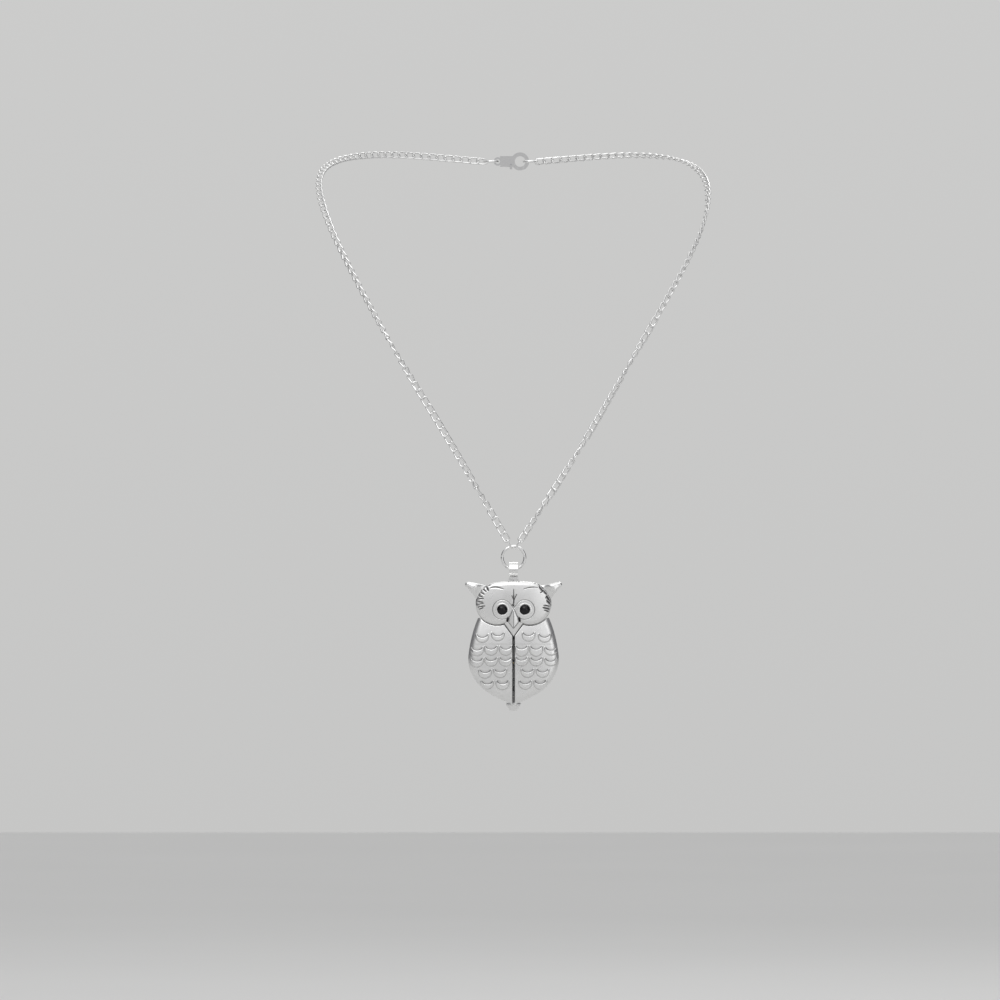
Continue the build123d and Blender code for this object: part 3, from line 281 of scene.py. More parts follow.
def makeCopper():
    # Enamelled wire, wound in fine turns across the coil
    material, tree, shader = newMaterial("copperTurns", copper["metallic"])
    inputs = {"Vector": addNode(tree, "ShaderNodeTexCoord").outputs["Object"], **copper["turns"]}
    turns = addNode(tree, "ShaderNodeTexWave", inputs, bands_direction="X").outputs["Fac"]
    colour = colourMix(tree, turns, copper["dark"], copper["bright"])
    feed(tree, shader, {"Base Color": colour, "Roughness": copper["rough"]})
    addBump(tree, shader, turns, copper["bump"], copper["bumpDepth"])
    return material


# Silver darkened by its mesh layer: oxide in the engraved cuts, painted shade elsewhere
oxideShadeSilver = makeCastSilver(True)
plainSilver = makeCastSilver(False)
# Name, colour, lowest and highest roughness, scale of the grain; then its stretch, or coat and bump
chainSilver = makeMetal("chainSilver", (0.93, 0.93, 0.925), (0.1, 0.2), 900.0)
polishedSteel = makeMetal("polishedSteel", (0.72, 0.72, 0.735), (0.12, 0.24), 1500.0, (1.0, 6.0, 1.0))
wheelBrass = makeMetal("wheelBrass", (0.83, 0.66, 0.33), (0.18, 0.3), 1800.0)
blackLacquer = makePlain("blackLacquer", (0.012, 0.012, 0.014), (0.12, 0.24), 1200.0, 0.5)
softRubber = makePlain("softRubber", (0.02, 0.02, 0.021), (0.55, 0.75), 2500.0, 0.0, 0.4)
ivoryPlastic = makePlain("ivoryPlastic", (0.72, 0.71, 0.66), (0.35, 0.5), 900.0, 0.0, 0.25)
boardGreen = makePlain("boardGreen", (0.02, 0.16, 0.07), (0.25, 0.4), 1500.0, 0.4)

slotFinish = {
    "satin_silver": plainSilver, "bright_silver": chainSilver, "steel": polishedSteel,
    "eye_black": makeCloudy("blackStone", **stone), "crystal": makeCloudy("clearCrystal", **crystal),
    "dial_white": makeCloudy("pearlDial", **pearl), "marker_black": blackLacquer,
    "hand_black": blackLacquer, "seal_black": softRubber, "movement_plastic": ivoryPlastic,
    "brass": wheelBrass, "copper_wire": makeCopper(), "board_green": boardGreen,
}
ownFinish = {"case_back": makeTurnedSteel(), "case_body": makeCaseSilver()}
for part in frame["record"]["subparts"]:
    finish = ownFinish.get(part["node"], slotFinish[part["material_slot"]])
    mesh = nodes[part["node"]].data
    mesh.materials.clear()
    mesh.materials.append(finish)
print("materials made")

# Mesh building from whole arrays


def gridFaces(rows, columns, start=0, wrapRows=False, wrapColumns=False):
    # Index quads of a grid whose vertex number is start + row * columns + column
    lastRow = rows if wrapRows else rows - 1
    lastColumn = columns if wrapColumns else columns - 1
    row, column = np.meshgrid(np.arange(lastRow), np.arange(lastColumn), indexing="ij")
    nextRow, nextColumn = (row + 1) % rows, (column + 1) % columns
    quads = np.stack([row * columns + column, row * columns + nextColumn,
                      nextRow * columns + nextColumn, nextRow * columns + column], axis=-1)
    return quads.reshape(-1, 4) + start


def spread(x, y, z):
    # Points with these three coordinates, which are broadcast to one shape
    return np.stack(np.broadcast_arrays(x, y, z), axis=-1)


def unit(vectors):
    # Each vector divided by its length
    return vectors / np.linalg.norm(vectors, axis=-1, keepdims=True)


def bell(distance, width):
    # exp(-(distance / width)^2)
    return np.exp(-(distance / width) ** 2)


def edgeGrid(xs, low, high, rows):
    # x and z of a grid with a column at each x, from its low edge to its high edge
    return np.broadcast_to(xs, (rows, len(xs))), low + (high - low) * np.linspace(0, 1, rows)[:, None]


def slabShell(front, back):
    # Two equal grids of points, joined by wall quads round their borders
    rows, columns = front.shape[:2]
    count = rows * columns
    top, left = np.arange(columns), np.arange(rows) * columns
    ring = np.concatenate([
        top[:-1], left[:-1] + columns - 1, top[:0:-1] + count - columns, left[:0:-1],
    ])
    after = np.roll(ring, -1)
    faces = np.concatenate([
        gridFaces(rows, columns), gridFaces(rows, columns, count)[:, ::-1],
        np.stack([ring, ring + count, after + count, after], axis=-1),
    ])
    return np.concatenate([front.reshape(-1, 3), back.reshape(-1, 3)]), faces


def meshObject(name, points, faces, material, oxideAndShade=None, weld=2e-7, sharpAngle=38):
    # Points in the dial's millimetres, with the oxide and painted shade as a layer of its own
    mesh = bpy.data.meshes.new(name)
    mesh.from_pydata(toRow(points), [], faces)
    if oxideAndShade is not None:
        layer = mesh.attributes.new("oxideAndShade", "FLOAT", "POINT")
        layer.data.foreach_set("value", np.asarray(oxideAndShade, np.float32))
    finishMesh(mesh, weld, sharpAngle)
    mesh.materials.append(material)
    return sceneObject(name, mesh)


def finishMesh(mesh, weld, sharpAngle):
    # Doubles at seams and poles are merged, normals point outwards, and only sharp edges stay hard
    edit = bmesh.new()
    edit.from_mesh(mesh)
    bmesh.ops.remove_doubles(edit, verts=edit.verts, dist=weld)
    bmesh.ops.dissolve_degenerate(edit, edges=edit.edges, dist=weld / 4)
    bmesh.ops.recalc_face_normals(edit, faces=edit.faces)
    edit.to_mesh(mesh)
    edit.free()
    mesh.shade_smooth()
    mesh.set_sharp_from_angle(angle=math.radians(sharpAngle))


def joinShells(shells):
    # Several closed shells as one set of points, faces and layer of oxide and painted shade
    points, faces, oxideAndShade, count = [], [], [], 0
    for shellPoints, shellFaces, shellPatina in shells:
        points.append(shellPoints)
        faces.append(shellFaces + count)
        oxideAndShade.append(shellPatina)
        count += len(shellPoints)
    return np.concatenate(points), np.concatenate(faces).tolist(), np.concatenate(oxideAndShade)


def smoothStep(value):
    # 0 below 0, 1 above 1, and 3t^2 - 2t^3 between
    value = np.clip(value, 0, 1)
    return value * value * (3 - 2 * value)


def edgeDrop(distance, width, depth):
    # Fall of a quarter-ellipse edge at a distance inside the outline:
    # depth (1 - sqrt(1 - (1 - distance / width)^2))
    inner = np.clip(1 - distance / width, 0, 1)
    return depth * (1 - np.sqrt(1 - inner * inner))


def strokeShare(x, z, start, end, halfWidth, taper=0.35):
    # Share of a stroke from start to end: a bell across it, narrower at its ends
    (x0, z0), (x1, z1) = start, end
    length2 = (x1 - x0) ** 2 + (z1 - z0) ** 2
    along = np.clip(((x - x0) * (x1 - x0) + (z - z0) * (z1 - z0)) / length2, 0, 1)
    distance = np.hypot(x - x0 - along * (x1 - x0), z - z0 - along * (z1 - z0))
    width = halfWidth * (taper + (1 - taper) * np.sqrt(np.clip(4 * along * (1 - along), 0, 1)))
    return bell(distance, width)


def curveShare(x, z, points, halfWidth, pieces=10, taper=0.35):
    # The strongest share of short strokes along a quadratic curve through three points
    (x0, z0), (xm, zm), (x1, z1) = points
    t = np.linspace(0, 1, pieces + 1)
    xs = x0 * (1 - t) * (1 - 2 * t) + 4 * xm * t * (1 - t) + x1 * t * (2 * t - 1)
    zs = z0 * (1 - t) * (1 - 2 * t) + 4 * zm * t * (1 - t) + z1 * t * (2 * t - 1)
    share = np.zeros_like(x)
    for index in range(pieces):
        middle = (index + 0.5) / pieces
        width = halfWidth * (taper + (1 - taper) * math.sin(math.pi * middle))
        ends = (xs[index], zs[index]), (xs[index + 1], zs[index + 1])
        share = np.maximum(share, strokeShare(x, z, ends[0], ends[1], width, 1.0))
    return share


# Outline of the body: three arcs each side, from the shoulder to the low tip

body = {
    "shoulder": (-11.05, 13.95), "flank": (-13.5, 5.65), "widest": (-14.05, 1.5), "hip": (-12.3, -4.65),
    "low": (-9.7, -7.8), "belly": (-4.2, -11.2), "tip": (0.0, -12.75), "samples": 300, "blocks": 12,
}


def circleThrough(first, middle, last):
    # Centre and radius from the two chords' equal-distance lines
    (ax, az), (bx, bz), (cx, cz) = first, middle, last
    rows = np.array([[bx - ax, bz - az], [cx - bx, cz - bz]]) * 2
    squares = np.array([bx * bx + bz * bz - ax * ax - az * az, cx * cx + cz * cz - bx * bx - bz * bz])
    centre = np.linalg.solve(rows, squares)
    return centre[0], centre[1], math.hypot(ax - centre[0], az - centre[1])


def arcPoints(first, middle, last, count):
    # Points at equal angles along the arc through three points: centre + radius (cos, sin)
    cx, cz, radius = circleThrough(first, middle, last)
    start = math.atan2(first[1] - cz, first[0] - cx) % (2 * math.pi)
    stop = math.atan2(last[1] - cz, last[0] - cx) % (2 * math.pi)
    angle = np.linspace(start, stop, count)
    return np.stack([cx + radius * np.cos(angle), cz + radius * np.sin(angle)], axis=-1)


bodyArcs = [
    (body["shoulder"], body["flank"], body["widest"]),
    (body["widest"], body["hip"], body["low"]),
    (body["low"], body["belly"], body["tip"]),
]
bodyLine = np.concatenate([arcPoints(*arc, body["samples"]) for arc in bodyArcs])


def insideBody(x, z):
    # Distance to the nearest point of the left outline: sqrt(|p|^2 + |q|^2 - 2 p.q)
    spots = np.stack([x.reshape(-1), z.reshape(-1)], axis=-1)
    nearest = np.full(len(spots), 1e6)
    for stretch in np.array_split(bodyLine, body["blocks"]):
        squares = (spots ** 2).sum(axis=1)[:, None] + (stretch ** 2).sum(axis=1) - 2 * spots @ stretch.T
        nearest = np.minimum(nearest, squares.min(axis=1))
    return np.sqrt(np.maximum(nearest, 0)).reshape(x.shape)


# Wing covers

wing = {
    "columns": 150, "rows": 250, "squeeze": 1.15, "seamX": -0.31, "domeDepth": 2.8, "domeRadius": 75.0,
    "domeZ": 1.0, "edgeWidth": 2.1, "edgeDepth": 1.0, "seamWidth": 0.3, "seamDepth": 0.16, "wall": 0.8,
    "wallFade": 0.2, "backY": -0.2, "shelfZ": 5.55, "shelfRise": 0.06, "shelfFade": 0.5, "reliefFade": 1.2,
    "sharpAngle": 66,
}
# The wing's own cut round the head: a circle beside the beak, and the beak's slope
wingCut = {"lobeX": -5.15, "lobeZ": 18.4, "lobeRadius": 6.75, "beakTipZ": 7.95, "beakSlope": 1.383}
# Painted shade: width and darkness in the gap under the head, along the seam, and on the inside
wingShade = {
    "gap": 0.2, "gapDark": 0.95, "seam": 0.3, "seamDark": 0.6, "edge": 0.5, "edgeDark": 0.65,
    "insideDark": 0.2,
}
# Feathers' relief, with painted shade: a dark line under each step, shade in the hollow and a dark rim
# under the lip
feather = {
    "raise": 0.32, "innerRadius": 2.03, "outerRadius": 2.1, "hornRise": 1.3, "hornFade": 0.4,
    "outerFade": 0.32, "innerFade": 0.26, "innerShift": 0.04, "sideMargin": 0.05, "sideFade": 0.35,
    "hollow": 0.2, "hollowStart": 0.1, "hollowStep": 0.2, "hollowReach": 1.1, "hollowFade": 0.9,
    "lineShift": 0.06, "lineWidth": 0.17, "lineMiddle": 0.7, "lineHorn": 0.5, "lineShade": 0.8,
    "shadeStep": 0.1, "shadeReach": 1.0, "shadeFade": 0.8, "shadeDark": 0.2,
    "rimShift": 0.02, "rimWidth": 0.1, "rimShade": 0.4,
}
# Feathers of each wing: x, then z of the dark upper arc and of the lower arc
leftFeathers = (
    (-9.7, 7.87, 6.3), (-4.84, 8.4, 6.85),
    (-11.35, 3.91, 2.17), (-7.0, 4.22, 2.33), (-2.42, 4.22, 2.33),
    (-11.35, 0.5, -1.3), (-7.0, 0.65, -1.05), (-2.51, 0.74, -1.0),
    (-8.84, -3.07, -4.8), (-4.15, -2.88, -4.56),
    (-8.18, -6.6, -8.1), (-3.44, -6.54, -8.28),
)
rightFeathers = (
    (4.65, 8.45, 6.67), (9.64, 7.94, 6.36),
    (2.51, 4.31, 2.02), (7.0, 4.22, 2.02), (11.6, 3.91, 2.33),
    (2.51, 0.81, -0.95), (7.0, 0.74, -0.95), (11.53, 0.5, -0.95),
    (4.34, -2.88, -4.5), (8.99, -2.88, -4.5),
    (3.63, -6.51, -8.18), (8.28, -6.45, -8.18),
)


def wingEdges(x):
    # Lowest and highest z of the left wing at each x: the outline, cut by the circle and the beak
    split = int(np.argmin(bodyLine[:, 0]))
    upper, lower = bodyLine[:split + 1][::-1], bodyLine[split:]
    low = np.interp(x, lower[:, 0], lower[:, 1])
    high = np.interp(x, upper[:, 0], upper[:, 1])
    reach = np.clip(wingCut["lobeRadius"] ** 2 - (x - wingCut["lobeX"]) ** 2, 0, None)
    circle = np.where(reach > 0, wingCut["lobeZ"] - np.sqrt(reach), body["shoulder"][1])
    beakLine = wingCut["beakTipZ"] + wingCut["beakSlope"] * np.abs(x)
    high = np.minimum(np.minimum(high, body["shoulder"][1]), np.minimum(circle, beakLine))
    return low, np.maximum(high, low)


def featherRelief(x, z, feathers):
    # Raised crescents between two arcs, with a hollow above the upper arc, and painted shade: a dark
    # line along the upper arc's step, shade in the hollow and a dark rim under the lower arc;
    # inner is the distance outside the upper circle, outer the distance inside the lower one
    height, oxideAndShade = np.zeros_like(x), np.zeros_like(x)
    outerRadius = feather["outerRadius"]
    for centreX, upperZ, lowerZ in feathers:
        aside = np.abs(x - centreX)
        inner = np.hypot(aside, z - upperZ - feather["innerRadius"]) - feather["innerRadius"]
        outer = outerRadius - np.hypot(aside, z - lowerZ - outerRadius)
        outer = np.where(z > lowerZ + outerRadius, outerRadius - aside, outer)
        below = smoothStep((upperZ + feather["hornRise"] - z) / feather["hornFade"])
        lip = smoothStep(outer / feather["outerFade"]) * below
        lip = lip * smoothStep((inner + feather["innerShift"]) / feather["innerFade"])
        height = np.maximum(height, feather["raise"] * lip)
        reach = smoothStep((outerRadius - feather["sideMargin"] - aside) / feather["sideFade"]) * below
        hollow = smoothStep((feather["hollowStart"] - inner) / feather["hollowStep"])
        hollow = hollow * smoothStep((inner + feather["hollowReach"]) / feather["hollowFade"])
        height = height - feather["hollow"] * hollow * reach
        # Painted shade: a dark line along the step, shade in the hollow above it and a dark rim under the
        # lip
        horn = feather["lineHorn"] * (aside / outerRadius) ** 2
        width = feather["lineWidth"] * (feather["lineMiddle"] + horn)
        line = bell(inner + feather["lineShift"], width) * reach
        shade = smoothStep(-(inner + feather["shadeStep"]) / feather["shadeStep"])
        shade = shade * smoothStep((inner + feather["shadeReach"]) / feather["shadeFade"]) * reach
        rim = bell(outer + feather["rimShift"], feather["rimWidth"]) * below
        rim = rim * (inner > feather["hollowStart"])
        marks = np.maximum(feather["shadeDark"] * shade, feather["rimShade"] * rim)
        oxideAndShade = np.maximum(oxideAndShade, np.maximum(feather["lineShade"] * line, marks))
    return height, oxideAndShade


def wingShell(feathers):
    # Left wing: x from the outline to the seam, closer together at the outline, z between the edges
    farX = bodyLine[:, 0].min()
    xs = farX + (wing["seamX"] - farX) * np.linspace(0, 1, wing["columns"]) ** wing["squeeze"]
    low, high = wingEdges(xs)
    x, z = edgeGrid(xs, low, high, wing["rows"])
    outer = insideBody(x, z)
    seam = wing["seamX"] - x
    lobe = np.hypot(x - wingCut["lobeX"], z - wingCut["lobeZ"]) - wingCut["lobeRadius"]
    slope = wingCut["beakSlope"]
    beakSide = (wingCut["beakTipZ"] + slope * np.abs(x) - z) / math.hypot(1, slope)
    gap = np.maximum(np.minimum(lobe, beakSide), 0)
    inner = np.maximum(np.minimum(gap, seam), 0)
    # The front: a shallow dome with the feathers and a low shelf, rounded off at its edges
    dome = wing["domeDepth"] - (x ** 2 + (z - wing["domeZ"]) ** 2) / (2 * wing["domeRadius"])
    relief, oxideAndShade = featherRelief(x, z, feathers)
    shelf = wing["shelfRise"] * smoothStep((z - wing["shelfZ"]) / wing["shelfFade"])
    fade = smoothStep(outer / wing["reliefFade"])
    front = dome + (relief + shelf) * fade - edgeDrop(outer, wing["edgeWidth"], wing["edgeDepth"])
    front = front - edgeDrop(inner, wing["seamWidth"], wing["seamDepth"])
    hollow = smoothStep((np.minimum(outer, inner) - wing["wall"]) / wing["wallFade"])
    under = -wing["backY"] + (dome - wing["wall"] + wing["backY"]) * hollow
    points, faces = slabShell(spread(x, -front, z), spread(x, -under, z))
    # Painted shade in the gap under the head, along the seam and round the inside
    gapShade = wingShade["gapDark"] * (1 - smoothStep(gap / wingShade["gap"]))
    seamShade = wingShade["seamDark"] * (1 - smoothStep(seam / wingShade["seam"]))
    inside = wingShade["insideDark"] + wingShade["edgeDark"] * (1 - smoothStep(inner / wingShade["edge"]))
    outside = np.maximum(oxideAndShade * fade, np.maximum(gapShade, seamShade))
    return points, faces, np.concatenate([outside.reshape(-1), inside.reshape(-1)])


tab = {
    "frontY": -1.0, "backY": -0.21, "hole": 0.66, "boss": 3.4, "side": 6.25, "low": 7.05, "middleX": -0.15,
    "turns": 96, "sideStart": -0.1, "sideFade": 0.25, "lowStart": 0.62, "lowFade": 0.12, "least": 0.05,
}


def tabShell():
    # The plate round the pivot: hole, rim, rim and hole as four rings, wider towards the wing
    # and cut off near the middle line
    angle = np.linspace(0, 2 * math.pi, tab["turns"], endpoint=False)
    across, down = np.cos(angle), -np.sin(angle)
    wider = (tab["side"] - tab["boss"]) * smoothStep((down - tab["sideStart"]) / tab["sideFade"])
    longer = (tab["low"] - tab["side"]) * smoothStep((down - tab["lowStart"]) / tab["lowFade"])
    rim = tab["boss"] + wider + longer
    space = (tab["middleX"] - wingCut["lobeX"]) / np.maximum(across, tab["least"])
    rim = np.where(across > tab["least"], np.minimum(rim, space), rim)
    hole = np.full(tab["turns"], tab["hole"])
    radius = np.stack([hole, rim, rim, hole])
    depth = np.array([tab["frontY"], tab["frontY"], tab["backY"], tab["backY"]])[:, None]
    x = wingCut["lobeX"] + radius * across
    z = wingCut["lobeZ"] - radius * down
    points = spread(x, depth, z).reshape(-1, 3)
    return points, gridFaces(4, tab["turns"], wrapRows=True, wrapColumns=True), np.zeros(len(points))


def makeWing(side):
    # The right wing is the left one mirrored, with feathers of its own
    feathers = leftFeathers if side < 0 else tuple((-x, upper, lower) for x, upper, lower in rightFeathers)
    points, faces, oxideAndShade = joinShells([wingShell(feathers), tabShell()])
    points = points * np.array([-side, 1.0, 1.0])
    name = "leftWing" if side < 0 else "rightWing"
    piece = meshObject(name, points, faces, oxideShadeSilver, oxideAndShade, sharpAngle=wing["sharpAngle"])
    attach(piece, "left_cover" if side < 0 else "right_cover")
    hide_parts("left_wing" if side < 0 else "right_wing")


makeWing(-1)
makeWing(1)
print("wing covers made")

# Head: one grid for the face with its beak, a shell for each ear and a block behind

head = {
    "columns": 340, "rows": 180, "squeeze": 1.25, "lobeX": 5.15, "lobeZ": 18.4, "lobeRadius": 6.6,
    "foreheadZ": 25.4, "depth": 3.7, "domeRadius": 45.0, "backY": -1.15, "wall": 0.2,
    "edgeWidth": 1.3, "edgeDepth": 0.85, "sharpAngle": 72,
}
# The ridged upper beak stands inside a band; each fades out at its margins
beak = {
    "half": 2.85, "tipZ": 8.1, "topZ": 12.1, "ridge": 4.3, "ridgeSlope": 0.3, "ridgeCurve": 0.03,
    "ridgeZ": 15.0, "ridgePower": 1.5, "lineTop": (0.0, 15.9), "lineLow": (0.05, 10.9), "line": 0.11,
    "innerHalf": 0.3, "innerTopZ": 16.9, "innerSpread": 0.4, "innerLeast": 0.05, "innerMargin": 0.06,
    "innerFade": 0.34, "innerHighZ": 17.1, "innerHighFade": 0.8,
    "floorZ": 10.7, "floorSlope": 1.25, "floorMargin": 0.05, "floorFade": 0.36,
    "band": 3.35, "bandFall": 0.22, "bandZ": 12.6, "bandSlope": 0.28, "bandPinch": 0.75, "bandFar": 9.0,
    "bandFade": 0.3, "bandMargin": 0.25, "bandHighZ": 14.2, "bandHighFade": 0.6,
}
# Ring, crossing lines (end, rise over the eye, half width), collar, seat and notch of each eye
eyes = {
    "x": 3.5, "z": 16.55, "ring": 3.02, "ringWidth": 0.11, "openFrom": 28, "openOver": 8,
    "crossZ": 17.0, "crossEnds": ((-0.85, 1.5, 0.14), (0.95, -1.5, 0.13)),
    "stone": 1.45, "collar": 1.85, "collarWidth": 0.16, "collarRise": 0.07,
    "seatDepth": 0.75, "seatMargin": 0.14, "seatFade": 0.12, "shadeMargin": 0.12, "shadeFade": 0.1,
    "notchTop": (1.7, 14.1), "notchLow": (1.95, 12.8), "notch": 0.32,
}
# Painted shade: in the eye seats, under the upper beak, along the beak's sides and under the jaw
headShade = {
    "seatDark": 0.9, "lip": 0.2, "lipHalf": 1.7, "lipDark": 0.6, "side": 0.3, "sideMargin": 0.2,
    "sideDark": 0.8, "jaw": 0.13, "jawZ": 17.0, "jawFade": 3.0, "jawDark": 0.75,
}
# How deep each kind of stroke is cut and how dark its oxide is, and the taper of some strokes
strokes = {
    "forehead": (0.14, 0.95), "brow": 0.16, "cut": (0.22, 1.0), "ragged": (0.15, 1.0),
    "eye": (0.12, 0.75), "notch": (0.5, 1.0), "ridge": (0.1, 0.8), "blunt": 0.8, "foreheadTaper": 0.5,
}
# Brows: three points of a curve, half width
brows = (
    ((-7.3, 23.15), (-5.6, 23.5), (-3.05, 22.9), 0.26), ((3.05, 22.85), (5.36, 23.45), (7.5, 23.35), 0.18),
)
# Short cuts in the plumage along both sides of the head: start, end, half width
cuts = (
    ((-8.4, 23.6), (-7.8, 22.4), 0.3), ((-9.5, 22.9), (-8.5, 22.1), 0.22),
    ((-10.2, 21.9), (-9.0, 21.2), 0.22), ((-10.8, 20.8), (-9.6, 20.5), 0.28),
    ((-11.0, 19.8), (-9.3, 20.05), 0.2), ((-11.2, 19.0), (-9.5, 18.8), 0.26),
    ((-11.2, 18.1), (-9.3, 18.5), 0.18), ((-11.1, 17.3), (-8.9, 17.7), 0.22),
    ((-10.7, 16.6), (-9.4, 17.2), 0.17), ((8.0, 23.7), (9.1, 22.2), 0.3),
    ((9.1, 22.5), (10.4, 21.2), 0.27), ((8.3, 21.8), (9.1, 22.1), 0.18),
    ((10.2, 20.8), (11.0, 19.5), 0.38), ((10.3, 19.4), (11.3, 18.4), 0.32),
    ((9.1, 17.2), (11.2, 16.7), 0.3), ((9.3, 17.9), (11.2, 17.6), 0.2),
    ((9.5, 16.4), (10.9, 16.0), 0.19), ((9.9, 20.1), (10.7, 20.9), 0.18),
)
# Strokes down the forehead: start, end, half width
forehead = (
    ((0.0, 22.9), (0.0, 20.6), 0.13), ((0.0, 21.0), (0.05, 18.7), 0.26), ((0.95, 21.3), (0.1, 19.5), 0.18),
    ((-0.6, 20.9), (0.0, 19.8), 0.17), ((0.0, 19.0), (0.0, 17.5), 0.2), ((-0.5, 18.2), (0.05, 17.6), 0.3),
)
# A ragged line where each ear meets the head, between two angles round the lobe, in degrees
ragged = {
    "radius": 6.32, "wave": 0.16, "waves": 9, "width": 0.17, "first": 98.0, "last": 188.0, "fade": 8,
    "least": 0.6, "beat": 0.4, "beats": 26, "shift": 40,
}


def foreheadArc():
    # The circle that touches both lobes and reaches the forehead's height: the drop of its centre
    # below the lobes' centres, (X^2 - rise^2) / (2 rise), and its radius
    rise = head["foreheadZ"] - head["lobeZ"] - head["lobeRadius"]
    drop = (head["lobeX"] ** 2 - rise ** 2) / (2 * rise)
    return drop, head["foreheadZ"] - head["lobeZ"] + drop


def beakLow(x):
    # The beak's lower edges: straight lines down to its point
    return np.abs(x) * (beak["topZ"] - beak["tipZ"]) / beak["half"] + beak["tipZ"]


def headEdges(x):
    # Lobes below and at the sides, the forehead arc between them, and the beak's point
    drop, radius = foreheadArc()
    touch = head["lobeX"] * radius / (radius - head["lobeRadius"])
    half = np.sqrt(np.clip(head["lobeRadius"] ** 2 - (np.abs(x) - head["lobeX"]) ** 2, 0, None))
    arch = head["lobeZ"] - drop + np.sqrt(radius ** 2 - x ** 2)
    high = np.where(np.abs(x) < touch, arch, head["lobeZ"] + half)
    return np.minimum(head["lobeZ"] - half, beakLow(x)), high


def insideHead(x, z):
    # Distance inside the forehead's circle between the lobes, and inside the nearer lobe elsewhere
    drop, radius = foreheadArc()
    lobe = head["lobeRadius"] - np.hypot(np.abs(x) - head["lobeX"], z - head["lobeZ"])
    arch = radius - np.hypot(x, z - head["lobeZ"] + drop)
    return np.where((np.abs(x) < head["lobeX"]) & (z > head["lobeZ"]), arch, lobe)


def engrave(relief, share, depth, dark=1.0):
    # Lowers the front by a share of the depth, and darkens it by the same share
    front, oxideAndShade = relief
    return front - depth * share, np.maximum(oxideAndShade, dark * share)


def eyeLines(x, z):
    # An engraved ring round each eye, open towards the beak, and the lines that cross between them
    share = np.zeros_like(x)
    cross = (0.0, eyes["crossZ"])
    for side in (-1, 1):
        dx, dz = (x - side * eyes["x"]) * side, z - eyes["z"]
        angle = np.degrees(np.arctan2(dz, -dx))
        ring = bell(np.hypot(dx, dz) - eyes["ring"], eyes["ringWidth"])
        share = np.maximum(share, ring * smoothStep((np.abs(angle) - eyes["openFrom"]) / eyes["openOver"]))
        for endX, rise, half in eyes["crossEnds"]:
            end = (side * endX, eyes["z"] + rise)
            share = np.maximum(share, strokeShare(x, z, end, cross, half, strokes["blunt"]))
    return share


def beakForm(x, z):
    # The ridged upper beak and the band round it: height of each over the zero plane, and where
    # each stands, as a share from 0 to 1
    aside = np.abs(x)
    ridge = beak["ridge"] - beak["ridgeSlope"] * aside
    ridge = ridge - beak["ridgeCurve"] * np.clip(beak["ridgeZ"] - z, 0, None) ** beak["ridgePower"]
    half = np.maximum(beak["innerHalf"] + (beak["innerTopZ"] - z) * beak["innerSpread"], beak["innerLeast"])
    floor = z - beak["floorZ"] - beak["floorSlope"] * aside
    inner = smoothStep((half - aside + beak["innerMargin"]) / beak["innerFade"])
    inner = inner * smoothStep((beak["innerHighZ"] - z) / beak["innerHighFade"])
    inner = inner * smoothStep((floor + beak["floorMargin"]) / beak["floorFade"])
    band = beak["band"] - beak["bandFall"] * np.clip(beak["bandZ"] - z, 0, None) - beak["bandSlope"] * aside
    pinch = (z - beak["topZ"]) * beak["bandPinch"]
    reach = np.where(z > beak["topZ"], beak["half"] - pinch, beak["bandFar"])
    outer = smoothStep((reach - aside) / beak["bandFade"])
    outer = outer * smoothStep((z - beakLow(x) + beak["bandMargin"]) / beak["bandFade"])
    return ridge, inner, band, outer * smoothStep((beak["bandHighZ"] - z) / beak["bandHighFade"])


def raggedShare(x, z):
    # A wavy arc round each lobe that comes and goes: a bell across it, times its beat
    side = np.where(x < 0, 1.0, -1.0)
    dx, dz = x * side + head["lobeX"], z - head["lobeZ"]
    angle = np.degrees(np.arctan2(dz, dx)) % 360
    wave = ragged["wave"] * np.sin(np.radians(ragged["waves"] * angle)) * side
    share = bell(np.hypot(dx, dz) - ragged["radius"] - wave, ragged["width"])
    share = share * smoothStep((angle - ragged["first"]) / ragged["fade"])
    share = share * smoothStep((ragged["last"] - angle) / ragged["fade"])
    beat = np.sin(np.radians(ragged["beats"] * angle + ragged["shift"] * side))
    return share * (ragged["least"] + ragged["beat"] * beat)


